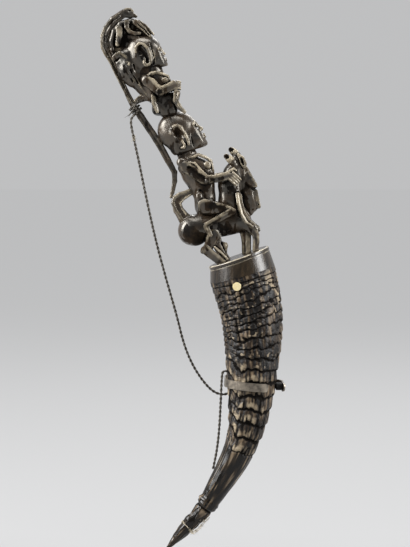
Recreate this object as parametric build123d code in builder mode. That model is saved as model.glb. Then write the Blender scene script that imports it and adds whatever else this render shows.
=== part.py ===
"""A Batak medicine horn: a ringed goat-antelope horn with a carved wooden stopper on a tether.

Millimetres, +Z up. The origin is the mouth of the blind socket behind the horn that the rod of a
stand enters from below. The horn and its figures lie in one upright middle plane parallel to XZ,
nearer to the viewer (-Y) than the socket, and the figures face +X.
"""

from build123d import *
import os
from math import asin, cos, pi, radians, sin, sqrt, tan

# Horn: its middle line (x, z) from the mouth to the tip, and its radius at distances down that line
horn_line = [
    (6.9, 82.5), (11.1, 66.4), (13.9, 48.9), (14.3, 32.9), (13.6, 15.4), (13.0, 0.0), (9.4, -26.6),
    (5.0, -40.6), (-2.0, -54.6), (-10.5, -68.6), (-19.5, -82.6), (-32.3, -96.6), (-47.3, -112.7),
]
horn_radii = [
    (0.0, 23.4), (16.6, 22.6), (34.4, 21.5), (50.4, 20.0), (67.9, 18.2), (83.3, 16.6), (96.0, 15.0),
    (110.1, 13.0), (124.8, 11.0), (140.4, 9.8), (156.8, 8.1), (166.5, 7.0), (168.3, 7.6), (171.8, 7.3),
    (173.2, 6.2), (183.0, 5.0), (188.0, 5.4), (191.5, 4.7), (196.0, 4.5), (201.8, 3.5), (208.3, 2.2),
    (214.2, 0.5),
]
mouth_tilt = 15.5  # the mouth's plane leans this many degrees, its left side lower
horn_wall = 4.2
cavity_depth = 118.0
cavity_end_share = 0.25  # of the bore that is left at the bottom of the cavity

# Growth rings, saw-toothed: each swells slowly toward the tip and then steps back into a groove
ring_count = 18
ring_first = 4.2
ring_growth = 0.33  # each ring is this much longer than the one above
ring_rise = 0.25
ring_groove = 0.45
ring_crest = 0.78  # of the ring's length

# Wooden neck ring on the mouth, with a spigot inside it, and the two pegs through horn and spigot
neck_height = 10.4
neck_lean = 11.1
neck_top_r = 21.8
neck_top_tilt = 19.5
spigot_r = 18.8
spigot_length = 12.0
fit_gap = 0.1  # between the spigot or a peg and its seat
peg_r = 3.0
peg_drop = 5.6  # below the mouth's plane
peg_offset = 6.0  # to the left of the horn's middle
peg_proud = 0.3
peg_inner = 16.7  # how near a peg comes to the middle line

# Stopper: a plug with a thin round platform, which carries the carved figures
plug_clearance = 0.2
plug_r = 14.9
plug_length = 18.0
seat_gap = 0.1
platform_t = 2.4
platform_overhang = 0.3

# Metal strap: a flat strip wound on edge round the horn, open at the front right
strap_height = 5.8
strap_t = 1.0
strap_gap = 0.15
strap_x, strap_z = 13.2, 5.0
strap_slant = 5.0
strap_front_end = 128.0  # degrees of wrap from the left side round the front
strap_arm_x = 22.1  # right arm, from the middle of the wrap
strap_rear_corner = 3.5
strap_arm_corner = 6.5
strap_flare = (1.2, 5.0)
strap_end_round = 2.2
pad_front, pad_rear, pad_height = 2.0, 5.0, 5.0
pad_gap = 0.1

# Stand socket, brazed on the back of the strap
socket_r = 4.0
socket_length = 14.0
socket_bore_r = 2.6
socket_bore_depth = 12.0
socket_saddle = 0.45  # depth of the flat that meets the strap

# Tether: a twisted cord from the figures down to the strap, its lashing, and the thread at the tip
cord_d = 1.9
cord_lead = 3.4  # straight out of the lashing, before it turns down
cord_route = [
    (-71.0, -3.2, 188.6), (-69.8, -2.8, 182.0), (-67.8, -2.4, 172.5), (-65.2, -1.7, 160.5),
    (-60.6, 0.0, 137.0), (-53.9, 2.8, 106.0), (-46.2, 5.2, 77.0), (-39.0, 7.4, 52.0), (-34.6, 9.2, 33.0),
    (-28.6, 10.7, 18.0), (-21.8, 11.9, 7.0), (-15.4, 12.8, -0.5), (-10.2, 13.5, -3.6),
    (-5.3, 14.3, -4.4), (-1.5, 14.9, -2.4), (-1.4, 14.7, 4.6), (-1.9, 14.3, 12.6),
    (-6.9, 12.5, 12.8), (-7.4, 11.7, 8.0), (-8.0, 11.0, -3.5), (-8.7, 10.4, -20.0),
    (-9.9, 9.8, -36.0), (-11.8, 10.4, -48.5), (-13.6, 11.4, -57.0),
]
lashing_turns = 2.0
lashing_pitch = 2.4
lashing_gap = 0.2
lashing_drop = 2.2  # down the tail rod from the middle of the tie
thread_d = 0.7
thread_turns = 1.5
thread_pitch = 1.25
thread_at = 191.5  # down the horn's middle line
thread_gap = 0.1


def horn_radius(s):
    """The horn's radius at the distance s down its middle line."""
    for (s0, r0), (s1, r1) in zip(horn_radii, horn_radii[1:]):
        if s <= s1:
            return r0 + (r1 - r0) * (s - s0) / (s1 - s0)
    return horn_radii[-1][1]


# The strap clears the ring crests at its own height, and the middle plane follows from the socket
strap_s = horn_line[0][1] - strap_z - strap_height / 2
strap_r = horn_radius(strap_s) + ring_rise + strap_gap + strap_t / 2
mid_y = -(strap_r + strap_t / 2 + socket_r - socket_saddle)


def at(x, side, z):
    """A point by its distance beyond the middle plane."""
    return Vector(x, mid_y + side, z)


def leaning(tilt):
    """Upward direction in the middle plane that leans to the left by tilt degrees."""
    return Vector(-sin(radians(tilt)), 0, cos(radians(tilt)))


with BuildLine() as horn_middle:
    Spline(
        *[at(x, 0, z) for x, z in horn_line],
        tangents=[-leaning(mouth_tilt), Vector(-0.72, 0, -0.69)],
    )
horn_curve = horn_middle.edges()[0]


def horn_plane(s):
    """Plane square to the horn's middle line, its normal toward the tip."""
    where = horn_curve.position_at(s, PositionMode.LENGTH)
    return Plane(where, x_dir=(0, 1, 0), z_dir=horn_curve.tangent_at(s, PositionMode.LENGTH))


mouth = at(horn_line[0][0], 0, horn_line[0][1])
mouth_plane = Plane(mouth, x_dir=(0, 1, 0), z_dir=leaning(mouth_tilt))
neck_top = mouth + leaning(neck_lean) * neck_height
neck_top_plane = Plane(neck_top, x_dir=(0, 1, 0), z_dir=leaning(neck_top_tilt))
plug_plane = Plane(neck_top, x_dir=(0, 1, 0), z_dir=leaning(mouth_tilt))
peg_angle = asin(peg_offset / horn_radius(peg_drop))
peg_axis = (
    mouth_plane.from_local_coords(Vector(-cos(peg_angle), sin(peg_angle), 0)) - mouth
).normalized()
peg_foot = mouth - leaning(mouth_tilt) * peg_drop + peg_axis * peg_inner
peg_plane = Plane(peg_foot, z_dir=peg_axis)
peg_length = horn_radius(peg_drop) + peg_proud - peg_inner
middle_plane = Plane.XZ.offset(-mid_y)

# Horn shell: the ringed part, then the smooth part down to the carved tip
skin = []
ring_top = 0.0
for ring in range(ring_count):
    ring_length = ring_first + ring_growth * ring
    crest = ring_top + ring_crest * ring_length
    skin.append((ring_top, horn_radius(ring_top) - (ring_groove if ring else 0)))
    skin.append((crest, horn_radius(crest) + ring_rise))
    ring_top += ring_length
skin.append((ring_top, horn_radius(ring_top) - ring_groove))
skin += [(s, r) for s, r in horn_radii if s > ring_top + 3]

with BuildPart() as horn_shell:
    for s, r in skin:
        with BuildSketch(horn_plane(s)):
            Circle(r)
    loft(ruled=True)
    for step in range(9):
        s = cavity_depth * step / 8
        share = 1 - (1 - cavity_end_share) * (step / 8) ** 4
        with BuildSketch(horn_plane(s)):
            Circle((horn_radius(s) - ring_groove - horn_wall) * share)
    loft(ruled=True, mode=Mode.SUBTRACT)
    with BuildSketch(mouth_plane):
        Circle(spigot_r + fit_gap)
    extrude(amount=-(spigot_length + 0.5), mode=Mode.SUBTRACT)
    with BuildSketch(peg_plane):
        Circle(peg_r + fit_gap)
    peg_hole = extrude(amount=2 * peg_length, mode=Mode.SUBTRACT)
    mirror(peg_hole, about=middle_plane, mode=Mode.SUBTRACT)

# Neck ring: leans a little, is bored for the plug and carries the spigot
with BuildPart() as neck_ring:
    with BuildSketch(mouth_plane):
        Circle(horn_radius(0))
    with BuildSketch(neck_top_plane):
        Circle(neck_top_r)
    loft()
    with BuildSketch(mouth_plane):
        Circle(spigot_r)
    extrude(amount=-spigot_length)
    with BuildSketch(plug_plane):
        Circle(plug_r + plug_clearance)
    extrude(amount=2 * (neck_height + spigot_length), both=True, mode=Mode.SUBTRACT)
    with BuildSketch(peg_plane):
        Circle(peg_r + fit_gap)
    peg_seat = extrude(amount=peg_length, mode=Mode.SUBTRACT)
    mirror(peg_seat, about=middle_plane, mode=Mode.SUBTRACT)

with BuildPart() as front_peg:
    with BuildSketch(peg_plane):
        Circle(peg_r)
    extrude(amount=peg_length)
    fillet(front_peg.edges().sort_by(Axis.Y)[0], radius=0.25)

with BuildPart() as rear_peg:
    mirror(front_peg.part, about=middle_plane)

# Strap: seen from above, a wrap round the front, a straight run behind and an arm on the right
strap_plane = Plane(
    at(strap_x, 0, strap_z),
    x_dir=(cos(radians(strap_slant)), 0, -sin(radians(strap_slant))),
    z_dir=(sin(radians(strap_slant)), 0, cos(radians(strap_slant))),
)
with BuildPart() as strap:
    with BuildSketch(strap_plane):
        with BuildLine():
            CenterArc((0, 0), strap_r, 180, strap_front_end)
            FilletPolyline(
                (-strap_r, 0),
                (-strap_r, strap_r),
                (strap_arm_x, strap_r),
                (strap_arm_x, 0),
                radius=[strap_rear_corner, strap_arm_corner],
            )
            TangentArc(
                (strap_arm_x, 0),
                (strap_arm_x + strap_flare[0], -strap_flare[1]),
                tangent=(0, -1),
            )
        trace(line_width=strap_t)
    extrude(amount=strap_height / 2, both=True)
    end_edges = [e for e in strap.edges().filter_by(GeomType.LINE) if abs(e.length - strap_t) < 0.01]
    fillet(end_edges, radius=strap_end_round)

# Pad between the strap's right arm and the horn, hollowed to the horn
pad_inner_r = horn_radius(strap_s) + ring_rise + pad_gap
with BuildPart() as strap_pad:
    with BuildSketch(strap_plane):
        with Locations((pad_inner_r, (pad_rear - pad_front) / 2)):
            Rectangle(
                2 * (strap_arm_x - strap_t / 2 - pad_inner_r), pad_front + pad_rear
            )
        Circle(pad_inner_r, mode=Mode.SUBTRACT)
    extrude(amount=pad_height / 2, both=True)

with BuildPart() as stand_socket:
    with BuildSketch():
        Circle(socket_r)
        with Locations((0, -socket_r)):
            Rectangle(2 * socket_r, 2 * socket_saddle, mode=Mode.SUBTRACT)
    extrude(amount=socket_length)
    with BuildSketch():
        Circle(socket_bore_r)
    extrude(amount=socket_bore_depth, mode=Mode.SUBTRACT)

# Stopper: platform and plug
platform_plane = neck_top_plane.offset(seat_gap)
with BuildPart() as stopper_plug:
    with BuildSketch(platform_plane):
        Circle(neck_top_r + platform_overhang)
    extrude(amount=platform_t)
    fillet(stopper_plug.edges(), radius=0.5)
    with BuildSketch(plug_plane.offset(seat_gap + platform_t / 2)):
        Circle(plug_r)
    extrude(amount=-(plug_length + platform_t / 2))
    chamfer(stopper_plug.edges().sort_by(Axis.Z)[0], length=0.6)

# Seats of the figures, one above the other, each measured from the one below
seat = neck_top + leaning(neck_top_tilt) * (seat_gap + platform_t)
saddle = seat + Vector(-24.1, 0, 33.0)  # where the rider sits on the horse
rider_crown = saddle + Vector(-18.2, 0, 68.3)
squatter_crown = rider_crown + Vector(-23.4, 0, 52.6)
crest_base = squatter_crown + Vector(-3.0, 0, 0.2)  # between the animal's hands and feet


def ball(centre, radius, half_width):
    """Rounded disc, seen as a circle from the side and half_width thick on each side of it."""
    with BuildPart() as shape:
        with BuildSketch(Plane(centre, x_dir=(1, 0, 0), z_dir=(0, 0, 1))):
            Ellipse(radius, half_width)
            with Locations((-radius, 0)):
                Rectangle(2 * radius, 2 * half_width, mode=Mode.SUBTRACT)
        revolve(axis=Axis(centre, (0, 1, 0)))
    return shape.part


def rod(start, end, start_r, end_r):
    """Round rod with ball ends and a cone between them that is tangent to both."""
    along = end - start
    rise = (start_r - end_r) / along.length
    run = sqrt(1 - rise * rise)
    with BuildPart() as shape:
        with BuildSketch(Plane(start, x_dir=along, z_dir=along.cross(Vector(0.3, 1, 0.2)))):
            with BuildLine():
                first = (start_r * rise, start_r * run)
                last = (along.length + end_r * rise, end_r * run)
                up = sqrt((1 + rise) / 2), sqrt((1 - rise) / 2)
                ThreePointArc((-start_r, 0), (-start_r * up[1], start_r * up[0]), first)
                Line(first, last)
                down = sqrt((1 + rise) / 2), sqrt((1 - rise) / 2)
                ThreePointArc(
                    last,
                    (along.length + end_r * down[0], end_r * down[1]),
                    (along.length + end_r, 0),
                )
                Line((along.length + end_r, 0), (-start_r, 0))
            make_face()
        revolve(axis=Axis(start, along))
    return shape.part


def limb(base, *stations):
    """Rods through stations (x, side, z, radius), measured from base. Each joint nests in the last."""
    rods = []
    for i, ((x0, y0, z0, r0), (x1, y1, z1, r1)) in enumerate(zip(stations, stations[1:])):
        start, end = base + Vector(x0, y0, z0), base + Vector(x1, y1, z1)
        rods.append(rod(start, end, r0 * (0.94 if i else 1), r1))
    return rods


def pair(base, *stations):
    """The same limb on both sides of the middle plane."""
    return limb(base, *stations) + limb(base, *[(x, -y, z, r) for x, y, z, r in stations])


def slab(base, half_width, *outline):
    """Flat piece with this outline (x, z from base), in the middle plane."""
    with BuildPart() as shape:
        with BuildSketch(Plane(base, x_dir=(1, 0, 0), z_dir=(0, -1, 0))):
            with BuildLine():
                Polyline(*outline, close=True)
            make_face()
        extrude(amount=half_width, both=True)
    return shape.part


# Horse: rump, barrel, neck, hanging head, tail curled up against the rider's back
horse_parts = (
    limb(seat, (-31.4, 0, 18.5, 11.0), (-12.9, 0, 21.1, 9.0), (0.9, 0, 25.2, 8.7))
    + limb(seat, (-1.5, 0, 27.0, 8.6), (-6.3, 0, 39.3, 7.4), (-1.9, 0, 62.5, 4.6))
    + limb(seat, (-0.5, 0, 63.5, 4.6), (1.8, 0, 61.7, 4.4), (8.1, 0, 46.3, 5.6), (9.5, 0, 35.3, 5.0))
    + limb(seat, (9.0, 0, 39.0, 2.8), (14.2, 0, 34.4, 1.7))
    + limb(seat, (-5.0, -5.5, 33.0, 5.4), (4.6, -6.0, 22.7, 4.4), (12.6, -6.5, 18.3, 2.9))
    + limb(seat, (12.6, -6.5, 18.3, 2.8), (11.2, -7.0, 0.0, 2.1))
    + limb(seat, (-5.0, 5.5, 30.0, 5.4), (2.9, 6.0, 20.0, 4.4), (5.4, 6.5, -3.0, 2.7))
    + limb(seat, (-28.0, -5.5, 14.0, 6.4), (-23.3, -6.5, 4.9, 3.3), (-11.5, -6.5, -6.5, 2.4))
    + limb(seat, (-20.0, 5.5, 15.0, 6.0), (-13.6, 6.5, 5.1, 2.8), (-6.5, 6.5, -5.0, 2.1))
    + limb(seat, (-14.0, 6.0, 6.6, 2.4), (-10.1, 2.0, 7.7, 2.5), (-9.0, 1.0, -6.0, 1.3))
    + limb(
        seat,
        (-31.0, 0, 22.0, 5.5),
        (-37.2, 0, 28.0, 3.6),
        (-42.4, 0, 35.2, 3.1),
        (-43.0, 0, 40.8, 2.6),
        (-39.9, 0, 44.3, 2.2),
        (-33.6, 0, 45.4, 2.0),
    )
    + pair(seat, (-2.0, -2.2, 66.0, 2.6), (-6.0, -3.4, 72.0, 2.0), (-9.5, -3.8, 73.0, 1.2))
    + pair(seat, (3.0, -3.2, 62.0, 1.6), (-0.2, -3.6, 71.0, 1.0))
)
with BuildPart() as horse:
    add(horse_parts)
    add(slab(seat, 4.0, (0, 66), (3.6, 65.2), (8.6, 54), (13.4, 48.6), (9, 48), (3, 56), (-1, 62)))
    split(bisect_by=Plane(seat, x_dir=(0, 1, 0), z_dir=leaning(neck_top_tilt)), keep=Keep.TOP)

# Crest lizard: its head over the top, its body bowed behind and its tail a straight rod
crest_points = [
    (-10.0, 14.4, 3.4), (-16.3, 9.8, 3.2), (-21.6, 4.9, 3.0), (-24.2, -1.4, 2.8),
    (-24.4, -7.0, 2.5), (-22.6, -12.6, 2.3), (-19.1, -19.6, 2.2),
]
tie = crest_base + Vector(-4.4, 0, -49.7)  # on the tail rod
tail_points = [
    (0, 0), (8.4, -11.2), (16.1, -23.1), (23.8, -37.1), (28.5, -45.5), (28.9, -52.0), (27.6, -61.6),
]
tail_radii = [2.25, 2.25, 2.25, 2.2, 2.1, 2.0, 1.7]
tail_axis = Vector(tail_points[1][0], 0, tail_points[1][1]).normalized()
with BuildPart() as crest_lizard:
    add(
        limb(crest_base, (-2.2, 0, 12.4, 1.3), (-6.0, 0, 13.2, 2.6), (-10.0, 0, 14.4, 3.4))
        + limb(crest_base, *[(x, 0, z, r) for x, z, r in crest_points])
        + limb(
            crest_base,
            (-19.1, 0, -19.6, 2.1),
            *[
                (tie.X - crest_base.X + x, 0, tie.Z - crest_base.Z + z, r)
                for (x, z), r in zip(tail_points, tail_radii)
            ],
        )
        + pair(crest_base, (-9.8, -1.6, 17.0, 1.1), (-4.9, -1.6, 17.3, 1.1))
    )
    add(horse.part, mode=Mode.SUBTRACT)

# Rider: head, chest, arms to the horse's neck and legs along its flanks
with BuildPart() as rider:
    add(ball(rider_crown + Vector(0, 0, -13.6), 13.6, 10.0))
    add(ball(saddle + Vector(-6.0, 0, 29.4), 12.3, 9.5))
    add(
        limb(rider_crown, (4.2, 0, -5.8, 5.2), (15.6, 0, -20.3, 4.2))
        + limb(rider_crown, (14.0, 0, -21.5, 3.6), (0.5, 0, -25.5, 6.8))
        + limb(rider_crown, (10.8, 0, -10.5, 1.6), (14.9, 0, -14.2, 1.3))
        + limb(saddle, (-13.0, 0, 44.0, 6.6), (-7.0, 0, 33.0, 6.6))
        + limb(saddle, (-4.5, 0, 27.0, 9.5), (-1.1, 0, 16.1, 7.8), (1.4, 0, 4.2, 6.4))
        + pair(
            saddle,
            (-14.6, -8.6, 33.2, 4.3),
            (2.2, -10.5, 21.2, 3.0),
            (18.4, -8.0, 23.2, 2.3),
            (22.4, -6.4, 21.0, 2.8),
        )
        + pair(
            saddle,
            (0.5, -5.0, 3.6, 6.0),
            (19.2, -9.5, 0.2, 3.4),
            (2.0, -10.8, -10.2, 2.5),
            (4.4, -10.6, -17.5, 1.9),
        )
        + pair(rider_crown, (-1.5, -9.0, -10.0, 3.0), (-1.0, -9.6, -19.0, 3.0))
    )
    add([horse.part, crest_lizard.part], mode=Mode.SUBTRACT)

# Squatting figure on the rider's head, hands on knees, its hair tied back to the tail rod
with BuildPart() as squatting_figure:
    add(ball(squatter_crown + Vector(0, 0, -12.6), 12.6, 9.5))
    add(
        limb(squatter_crown, (4.6, 0, -5.2, 4.8), (10.7, 0, -18.2, 4.1))
        + limb(squatter_crown, (10.4, 0, -18.8, 3.4), (1.0, 0, -19.5, 5.6))
        + limb(squatter_crown, (8.3, 0, -9.4, 1.5), (11.1, 0, -12.6, 1.2))
        + limb(squatter_crown, (4.0, 0, -21.0, 5.6), (7.6, 0, -33.0, 6.6))
        + limb(rider_crown, (-14.7, 0, 19.7, 8.6), (-15.4, 0, 9.9, 5.7), (-12.4, 0, 1.0, 6.0))
        + limb(rider_crown, (-12.2, 0, 5.5, 6.2), (-5.0, 0, 6.0, 5.0))
        + pair(
            rider_crown,
            (-21.8, -7.8, 21.8, 3.9),
            (-11.6, -9.4, 12.6, 3.0),
            (-2.8, -8.8, 16.0, 2.4),
            (-0.2, -8.6, 16.4, 2.4),
        )
        + pair(
            rider_crown,
            (-12.6, -4.5, 1.2, 5.2),
            (-0.9, -8.2, 11.9, 3.3),
            (-0.2, -7.8, 3.6, 2.6),
            (3.0, -7.4, -0.5, 2.4),
        )
        + pair(squatter_crown, (-1.8, -7.9, -9.4, 2.3), (2.9, -8.7, -14.0, 2.0), (3.4, -8.3, -19.4, 2.4))
        + limb(squatter_crown, (-4.0, 0, -20.0, 7.0), (-1.0, 0, -32.0, 5.2))
        + limb(
            crest_base,
            (-15.0, 0, -19.5, 3.9),
            (-7.2, 0, -29.4, 4.2),
            (0.5, 0, -37.8, 3.5),
            (4.7, 0, -43.0, 2.2),
            (-6.6, 0, -46.3, 1.6),
        )
        + limb(crest_base, (-9.0, 0, -16.0, 5.5), (-6.0, 0, -27.0, 5.5))
    )
    add([rider.part, crest_lizard.part], mode=Mode.SUBTRACT)

# Crouching animal: back arched over the head, hands on the brow and feet on the nape
with BuildPart() as crouching_animal:
    add(
        limb(
            crest_base,
            (-0.2, 0, 7.3, 2.4),
            (-6.5, 0, 8.7, 2.8),
            (-13.2, 0, 6.9, 3.0),
            (-18.0, 0, 2.0, 3.0),
            (-19.5, 0, -5.0, 2.9),
            (-18.9, 0, -11.4, 2.7),
            (-16.1, 0, -17.0, 2.4),
        )
        + pair(
            crest_base,
            (-6.0, -2.6, 8.4, 2.2),
            (1.0, -3.8, 5.2, 1.8),
            (4.6, -4.0, 0.4, 1.6),
            (7.2, -4.0, -1.9, 1.3),
        )
        + pair(
            crest_base,
            (-8.4, -3.0, 8.4, 2.2),
            (-11.0, -5.0, 5.2, 2.2),
            (-9.8, -5.6, 1.8, 1.9),
            (-4.0, -5.4, 0.4, 1.5),
        )
        + pair(crest_base, (-14.6, -3.4, 5.0, 2.8), (-13.2, -5.0, -4.6, 1.9))
        + pair(
            crest_base,
            (-17.6, -1.5, -14.6, 2.4),
            (-12.6, -4.6, -12.0, 2.2),
            (-8.6, -5.0, -15.0, 1.9),
        )
    )
    add(
        slab(crest_base, 2.0, (-6, 8), (-13, 6), (-17, 1), (-18.5, -5), (-17, -12), (-4, -14), (2, -3))
    )
    add([squatting_figure.part, crest_lizard.part], mode=Mode.SUBTRACT)


def biarc_joint(p, q, heading_p, heading_q):
    """Where the two tangent arcs from p to q meet, and the heading there."""
    v, t = q - p, heading_p + heading_q
    a, b = 2 * (1 - heading_p.dot(heading_q)), v.dot(t)
    d = (-b + sqrt(b * b + a * v.dot(v))) / a
    first, second = p + heading_p * d, q - heading_q * d
    return (first + second) * 0.5, (second - first).normalized()


def winding(plane, start_r, end_r, pitch, turns, start_angle):
    """Quarter-turn points of a winding about the plane's normal, and the heading at each."""
    points, headings = [], []
    quarters = round(4 * turns)
    for i in range(quarters + 1):
        angle = radians(start_angle) + i * pi / 2
        r = start_r + (end_r - start_r) * i / quarters
        place = Vector(r * cos(angle), r * sin(angle), pitch * i / 4)
        ahead = Vector(-r * sin(angle), r * cos(angle), pitch / (2 * pi))
        points.append(plane.from_local_coords(place))
        headings.append((plane.from_local_coords(ahead) - plane.origin).normalized())
    return points, headings


def wound_path(points, headings, lead):
    """Arcs through the winding's points, with a straight run of length lead at each end."""
    Line(points[0] - headings[0] * lead, points[0])
    for p, q, heading_p, heading_q in zip(points, points[1:], headings, headings[1:]):
        middle, heading = biarc_joint(p, q, heading_p, heading_q)
        TangentArc(p, middle, tangent=heading_p)
        TangentArc(middle, q, tangent=heading)
    Line(points[-1], points[-1] + headings[-1] * lead)


def least_gap(edges, diameter, turn_length):
    """Least gap between a winding's turns, measured on points along it."""
    points, where, travelled = [], [], 0.0
    for edge in edges:
        for i in range(8):
            points.append(edge.position_at(i / 8))
            where.append(travelled + edge.length * i / 8)
        travelled += edge.length
    gaps = [
        (points[i] - points[j]).length - diameter
        for i in range(len(points))
        for j in range(i)
        if where[i] - where[j] > turn_length / 2
    ]
    return min(gaps)


# Lashing round the tail rod, which ends at the front, heading down and to the left
lashing_r = tail_radii[0] + lashing_gap + cord_d / 2
lashing_middle = tie + tail_axis * lashing_drop
lashing_plane = Plane(
    lashing_middle - tail_axis * (lashing_turns * lashing_pitch / 2), x_dir=(0, -1, 0), z_dir=tail_axis
)
lashing_points, lashing_headings = winding(
    lashing_plane, lashing_r, lashing_r, lashing_pitch, lashing_turns, 0
)
with BuildPart() as tether_lashing:
    with BuildLine() as lashing_path:
        wound_path(lashing_points, lashing_headings, cord_d)
    with BuildSketch(
        Plane(lashing_points[0] - lashing_headings[0] * cord_d, z_dir=lashing_headings[0])
    ):
        Circle(cord_d / 2)
    sweep(path=lashing_path.wires()[0])
print("lashing gap", round(least_gap(lashing_path.edges(), cord_d, 2 * pi * lashing_r), 2))
lashing_end = lashing_points[-1] + lashing_headings[-1] * cord_d

# Tether cord: hangs from the lashing, slips under the strap's left side and up inside its rear
# corner, goes over its top edge and hangs down outside, behind the horn at the end
cord_points = [
    lashing_end,
    lashing_end + lashing_headings[-1] * cord_lead,
    *[at(x, side, z) for x, side, z in cord_route],
]
cord_radii = []
for before, corner, after in zip(cord_points, cord_points[1:], cord_points[2:]):
    run_in, run_out = corner - before, after - corner
    half_turn = radians(run_in.get_angle(run_out)) / 2
    cord_radii.append(0.45 * min(run_in.length, run_out.length) / tan(half_turn))
print("cord radii", [round(r, 1) for r in cord_radii])
with BuildPart() as tether_cord:
    with BuildLine() as cord_path:
        FilletPolyline(*cord_points, radius=cord_radii)
    with BuildSketch(Plane(lashing_end, z_dir=lashing_headings[-1])):
        Circle(cord_d / 2)
    sweep(path=cord_path.wires()[0])
cord_length = cord_path.wires()[0].length
print("cord length", round(cord_length, 1), "lashing end", lashing_end)
print("cord volume over section times length",
      round(tether_cord.part.volume / (pi * cord_d**2 / 4 * cord_length), 4))

# Thread tied round the tip's neck
thread_r = horn_radius(thread_at) + thread_gap + thread_d / 2
thread_plane = horn_plane(thread_at - thread_turns * thread_pitch / 2)
thread_points, thread_headings = winding(
    thread_plane, thread_r + 0.35, thread_r, thread_pitch, thread_turns, 180
)
with BuildPart() as tip_thread:
    with BuildLine() as thread_path:
        wound_path(thread_points, thread_headings, thread_d)
    with BuildSketch(Plane(thread_points[0] - thread_headings[0] * thread_d, z_dir=thread_headings[0])):
        Circle(thread_d / 2)
    sweep(path=thread_path.wires()[0])
print("thread gap", round(least_gap(thread_path.edges(), thread_d, 2 * pi * thread_r), 2))

os.makedirs("parts", exist_ok=True)
for name, piece in {
    "horn_shell": horn_shell,
    "neck_ring": neck_ring,
    "front_peg": front_peg,
    "rear_peg": rear_peg,
    "strap": strap,
    "strap_pad": strap_pad,
    "stand_socket": stand_socket,
    "stopper_plug": stopper_plug,
    "horse": horse,
    "rider": rider,
    "squatting_figure": squatting_figure,
    "crouching_animal": crouching_animal,
    "crest_lizard": crest_lizard,
    "tether_lashing": tether_lashing,
    "tether_cord": tether_cord,
    "tip_thread": tip_thread,
}.items():
    piece.part.label = name
    export_step(piece.part, f"parts/{name}.step")
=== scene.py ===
"""Looks of a Batak medicine horn: carved figures, ringed horn, tether cord, strap and their materials.

The modelling below is in millimetres and is turned into metres where a mesh is made. Points of the
figures are (x, side, z): side is measured from the upright middle plane of the horn.
"""

from math import cos, pi, radians, sin, sqrt

import bpy
import numpy as np
import openvdb
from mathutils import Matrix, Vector


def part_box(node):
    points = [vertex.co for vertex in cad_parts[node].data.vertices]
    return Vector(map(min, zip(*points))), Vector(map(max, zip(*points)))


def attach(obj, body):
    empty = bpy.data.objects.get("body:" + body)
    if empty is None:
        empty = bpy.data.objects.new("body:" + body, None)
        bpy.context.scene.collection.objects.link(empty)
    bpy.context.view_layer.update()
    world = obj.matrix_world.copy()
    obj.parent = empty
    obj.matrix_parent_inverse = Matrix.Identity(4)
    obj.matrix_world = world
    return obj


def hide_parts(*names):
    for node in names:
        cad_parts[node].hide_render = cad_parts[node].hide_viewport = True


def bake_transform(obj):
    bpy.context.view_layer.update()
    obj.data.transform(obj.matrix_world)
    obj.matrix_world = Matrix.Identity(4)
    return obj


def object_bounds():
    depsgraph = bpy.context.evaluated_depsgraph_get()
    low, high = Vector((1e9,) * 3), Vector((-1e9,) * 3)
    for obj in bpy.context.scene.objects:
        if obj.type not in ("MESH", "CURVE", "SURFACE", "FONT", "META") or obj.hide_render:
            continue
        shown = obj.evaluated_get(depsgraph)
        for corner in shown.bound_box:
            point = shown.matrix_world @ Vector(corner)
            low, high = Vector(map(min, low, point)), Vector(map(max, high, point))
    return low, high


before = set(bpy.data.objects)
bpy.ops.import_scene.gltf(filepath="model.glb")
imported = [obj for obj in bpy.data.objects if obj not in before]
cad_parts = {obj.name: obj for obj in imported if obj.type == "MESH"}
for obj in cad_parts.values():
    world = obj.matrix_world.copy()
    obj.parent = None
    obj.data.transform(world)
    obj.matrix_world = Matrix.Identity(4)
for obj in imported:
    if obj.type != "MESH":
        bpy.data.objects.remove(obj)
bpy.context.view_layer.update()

MM = 0.001
CELL = 0.4  # grid of the carved figures
FAR = 6.0  # what the grid holds away from every surface
MARGIN = 2.6  # how far round a shape the grid changes

# Middle plane of the horn; tilts of its mouth and of the ring's top in degrees; seat of the figures (x, z)
ring_low, ring_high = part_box("neck_ring")
middle = (ring_low[1] + ring_high[1]) / 2 / MM
mouth_tilt, neck_top_tilt = 15.5, 19.5
seat = (4.06, 95.06)
neck_top_r, platform_t = 21.8, 2.4

# The tether's points, from its straight lead out of the lashing to its bare end
cord_d, cord_lay = 1.9, 6.2  # thickness, and length of one turn of its strands
lashing_end = (-67.66, -3.40, 194.48)
cord_lead = 3.4
cord_heading = (-0.731, 0.0, -0.682)
cord_route = [
    (-71.0, -3.2, 188.6), (-69.8, -2.8, 182.0), (-67.8, -2.4, 172.5), (-65.2, -1.7, 160.5),
    (-60.6, 0.0, 137.0), (-53.9, 2.8, 106.0), (-46.2, 5.2, 77.0), (-39.0, 7.4, 52.0), (-34.6, 9.2, 33.0),
    (-28.6, 10.7, 18.0), (-21.8, 11.9, 7.0), (-15.4, 12.8, -0.5), (-10.2, 13.5, -3.6),
    (-5.3, 14.3, -4.4), (-1.5, 14.9, -2.4), (-1.4, 14.7, 4.6), (-1.9, 14.3, 12.6),
    (-6.9, 12.5, 12.8), (-7.4, 11.7, 8.0), (-8.0, 11.0, -3.5), (-8.7, 10.4, -20.0),
    (-9.9, 9.8, -36.0), (-11.8, 10.4, -48.5), (-13.6, 11.4, -57.0),
]


def row(points):
    """Points (x, side, z) in millimetres as metres of the frame."""
    return (np.atleast_2d(points) + (0, middle, 0)) * MM


REPEAT = 32  # points along each side of a table of noise


def lattice(seed):
    return np.random.default_rng(seed).random((REPEAT,) * 3).astype(np.float32) * 2 - 1


LATTICES = [lattice(seed) for seed in range(6)]


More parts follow.
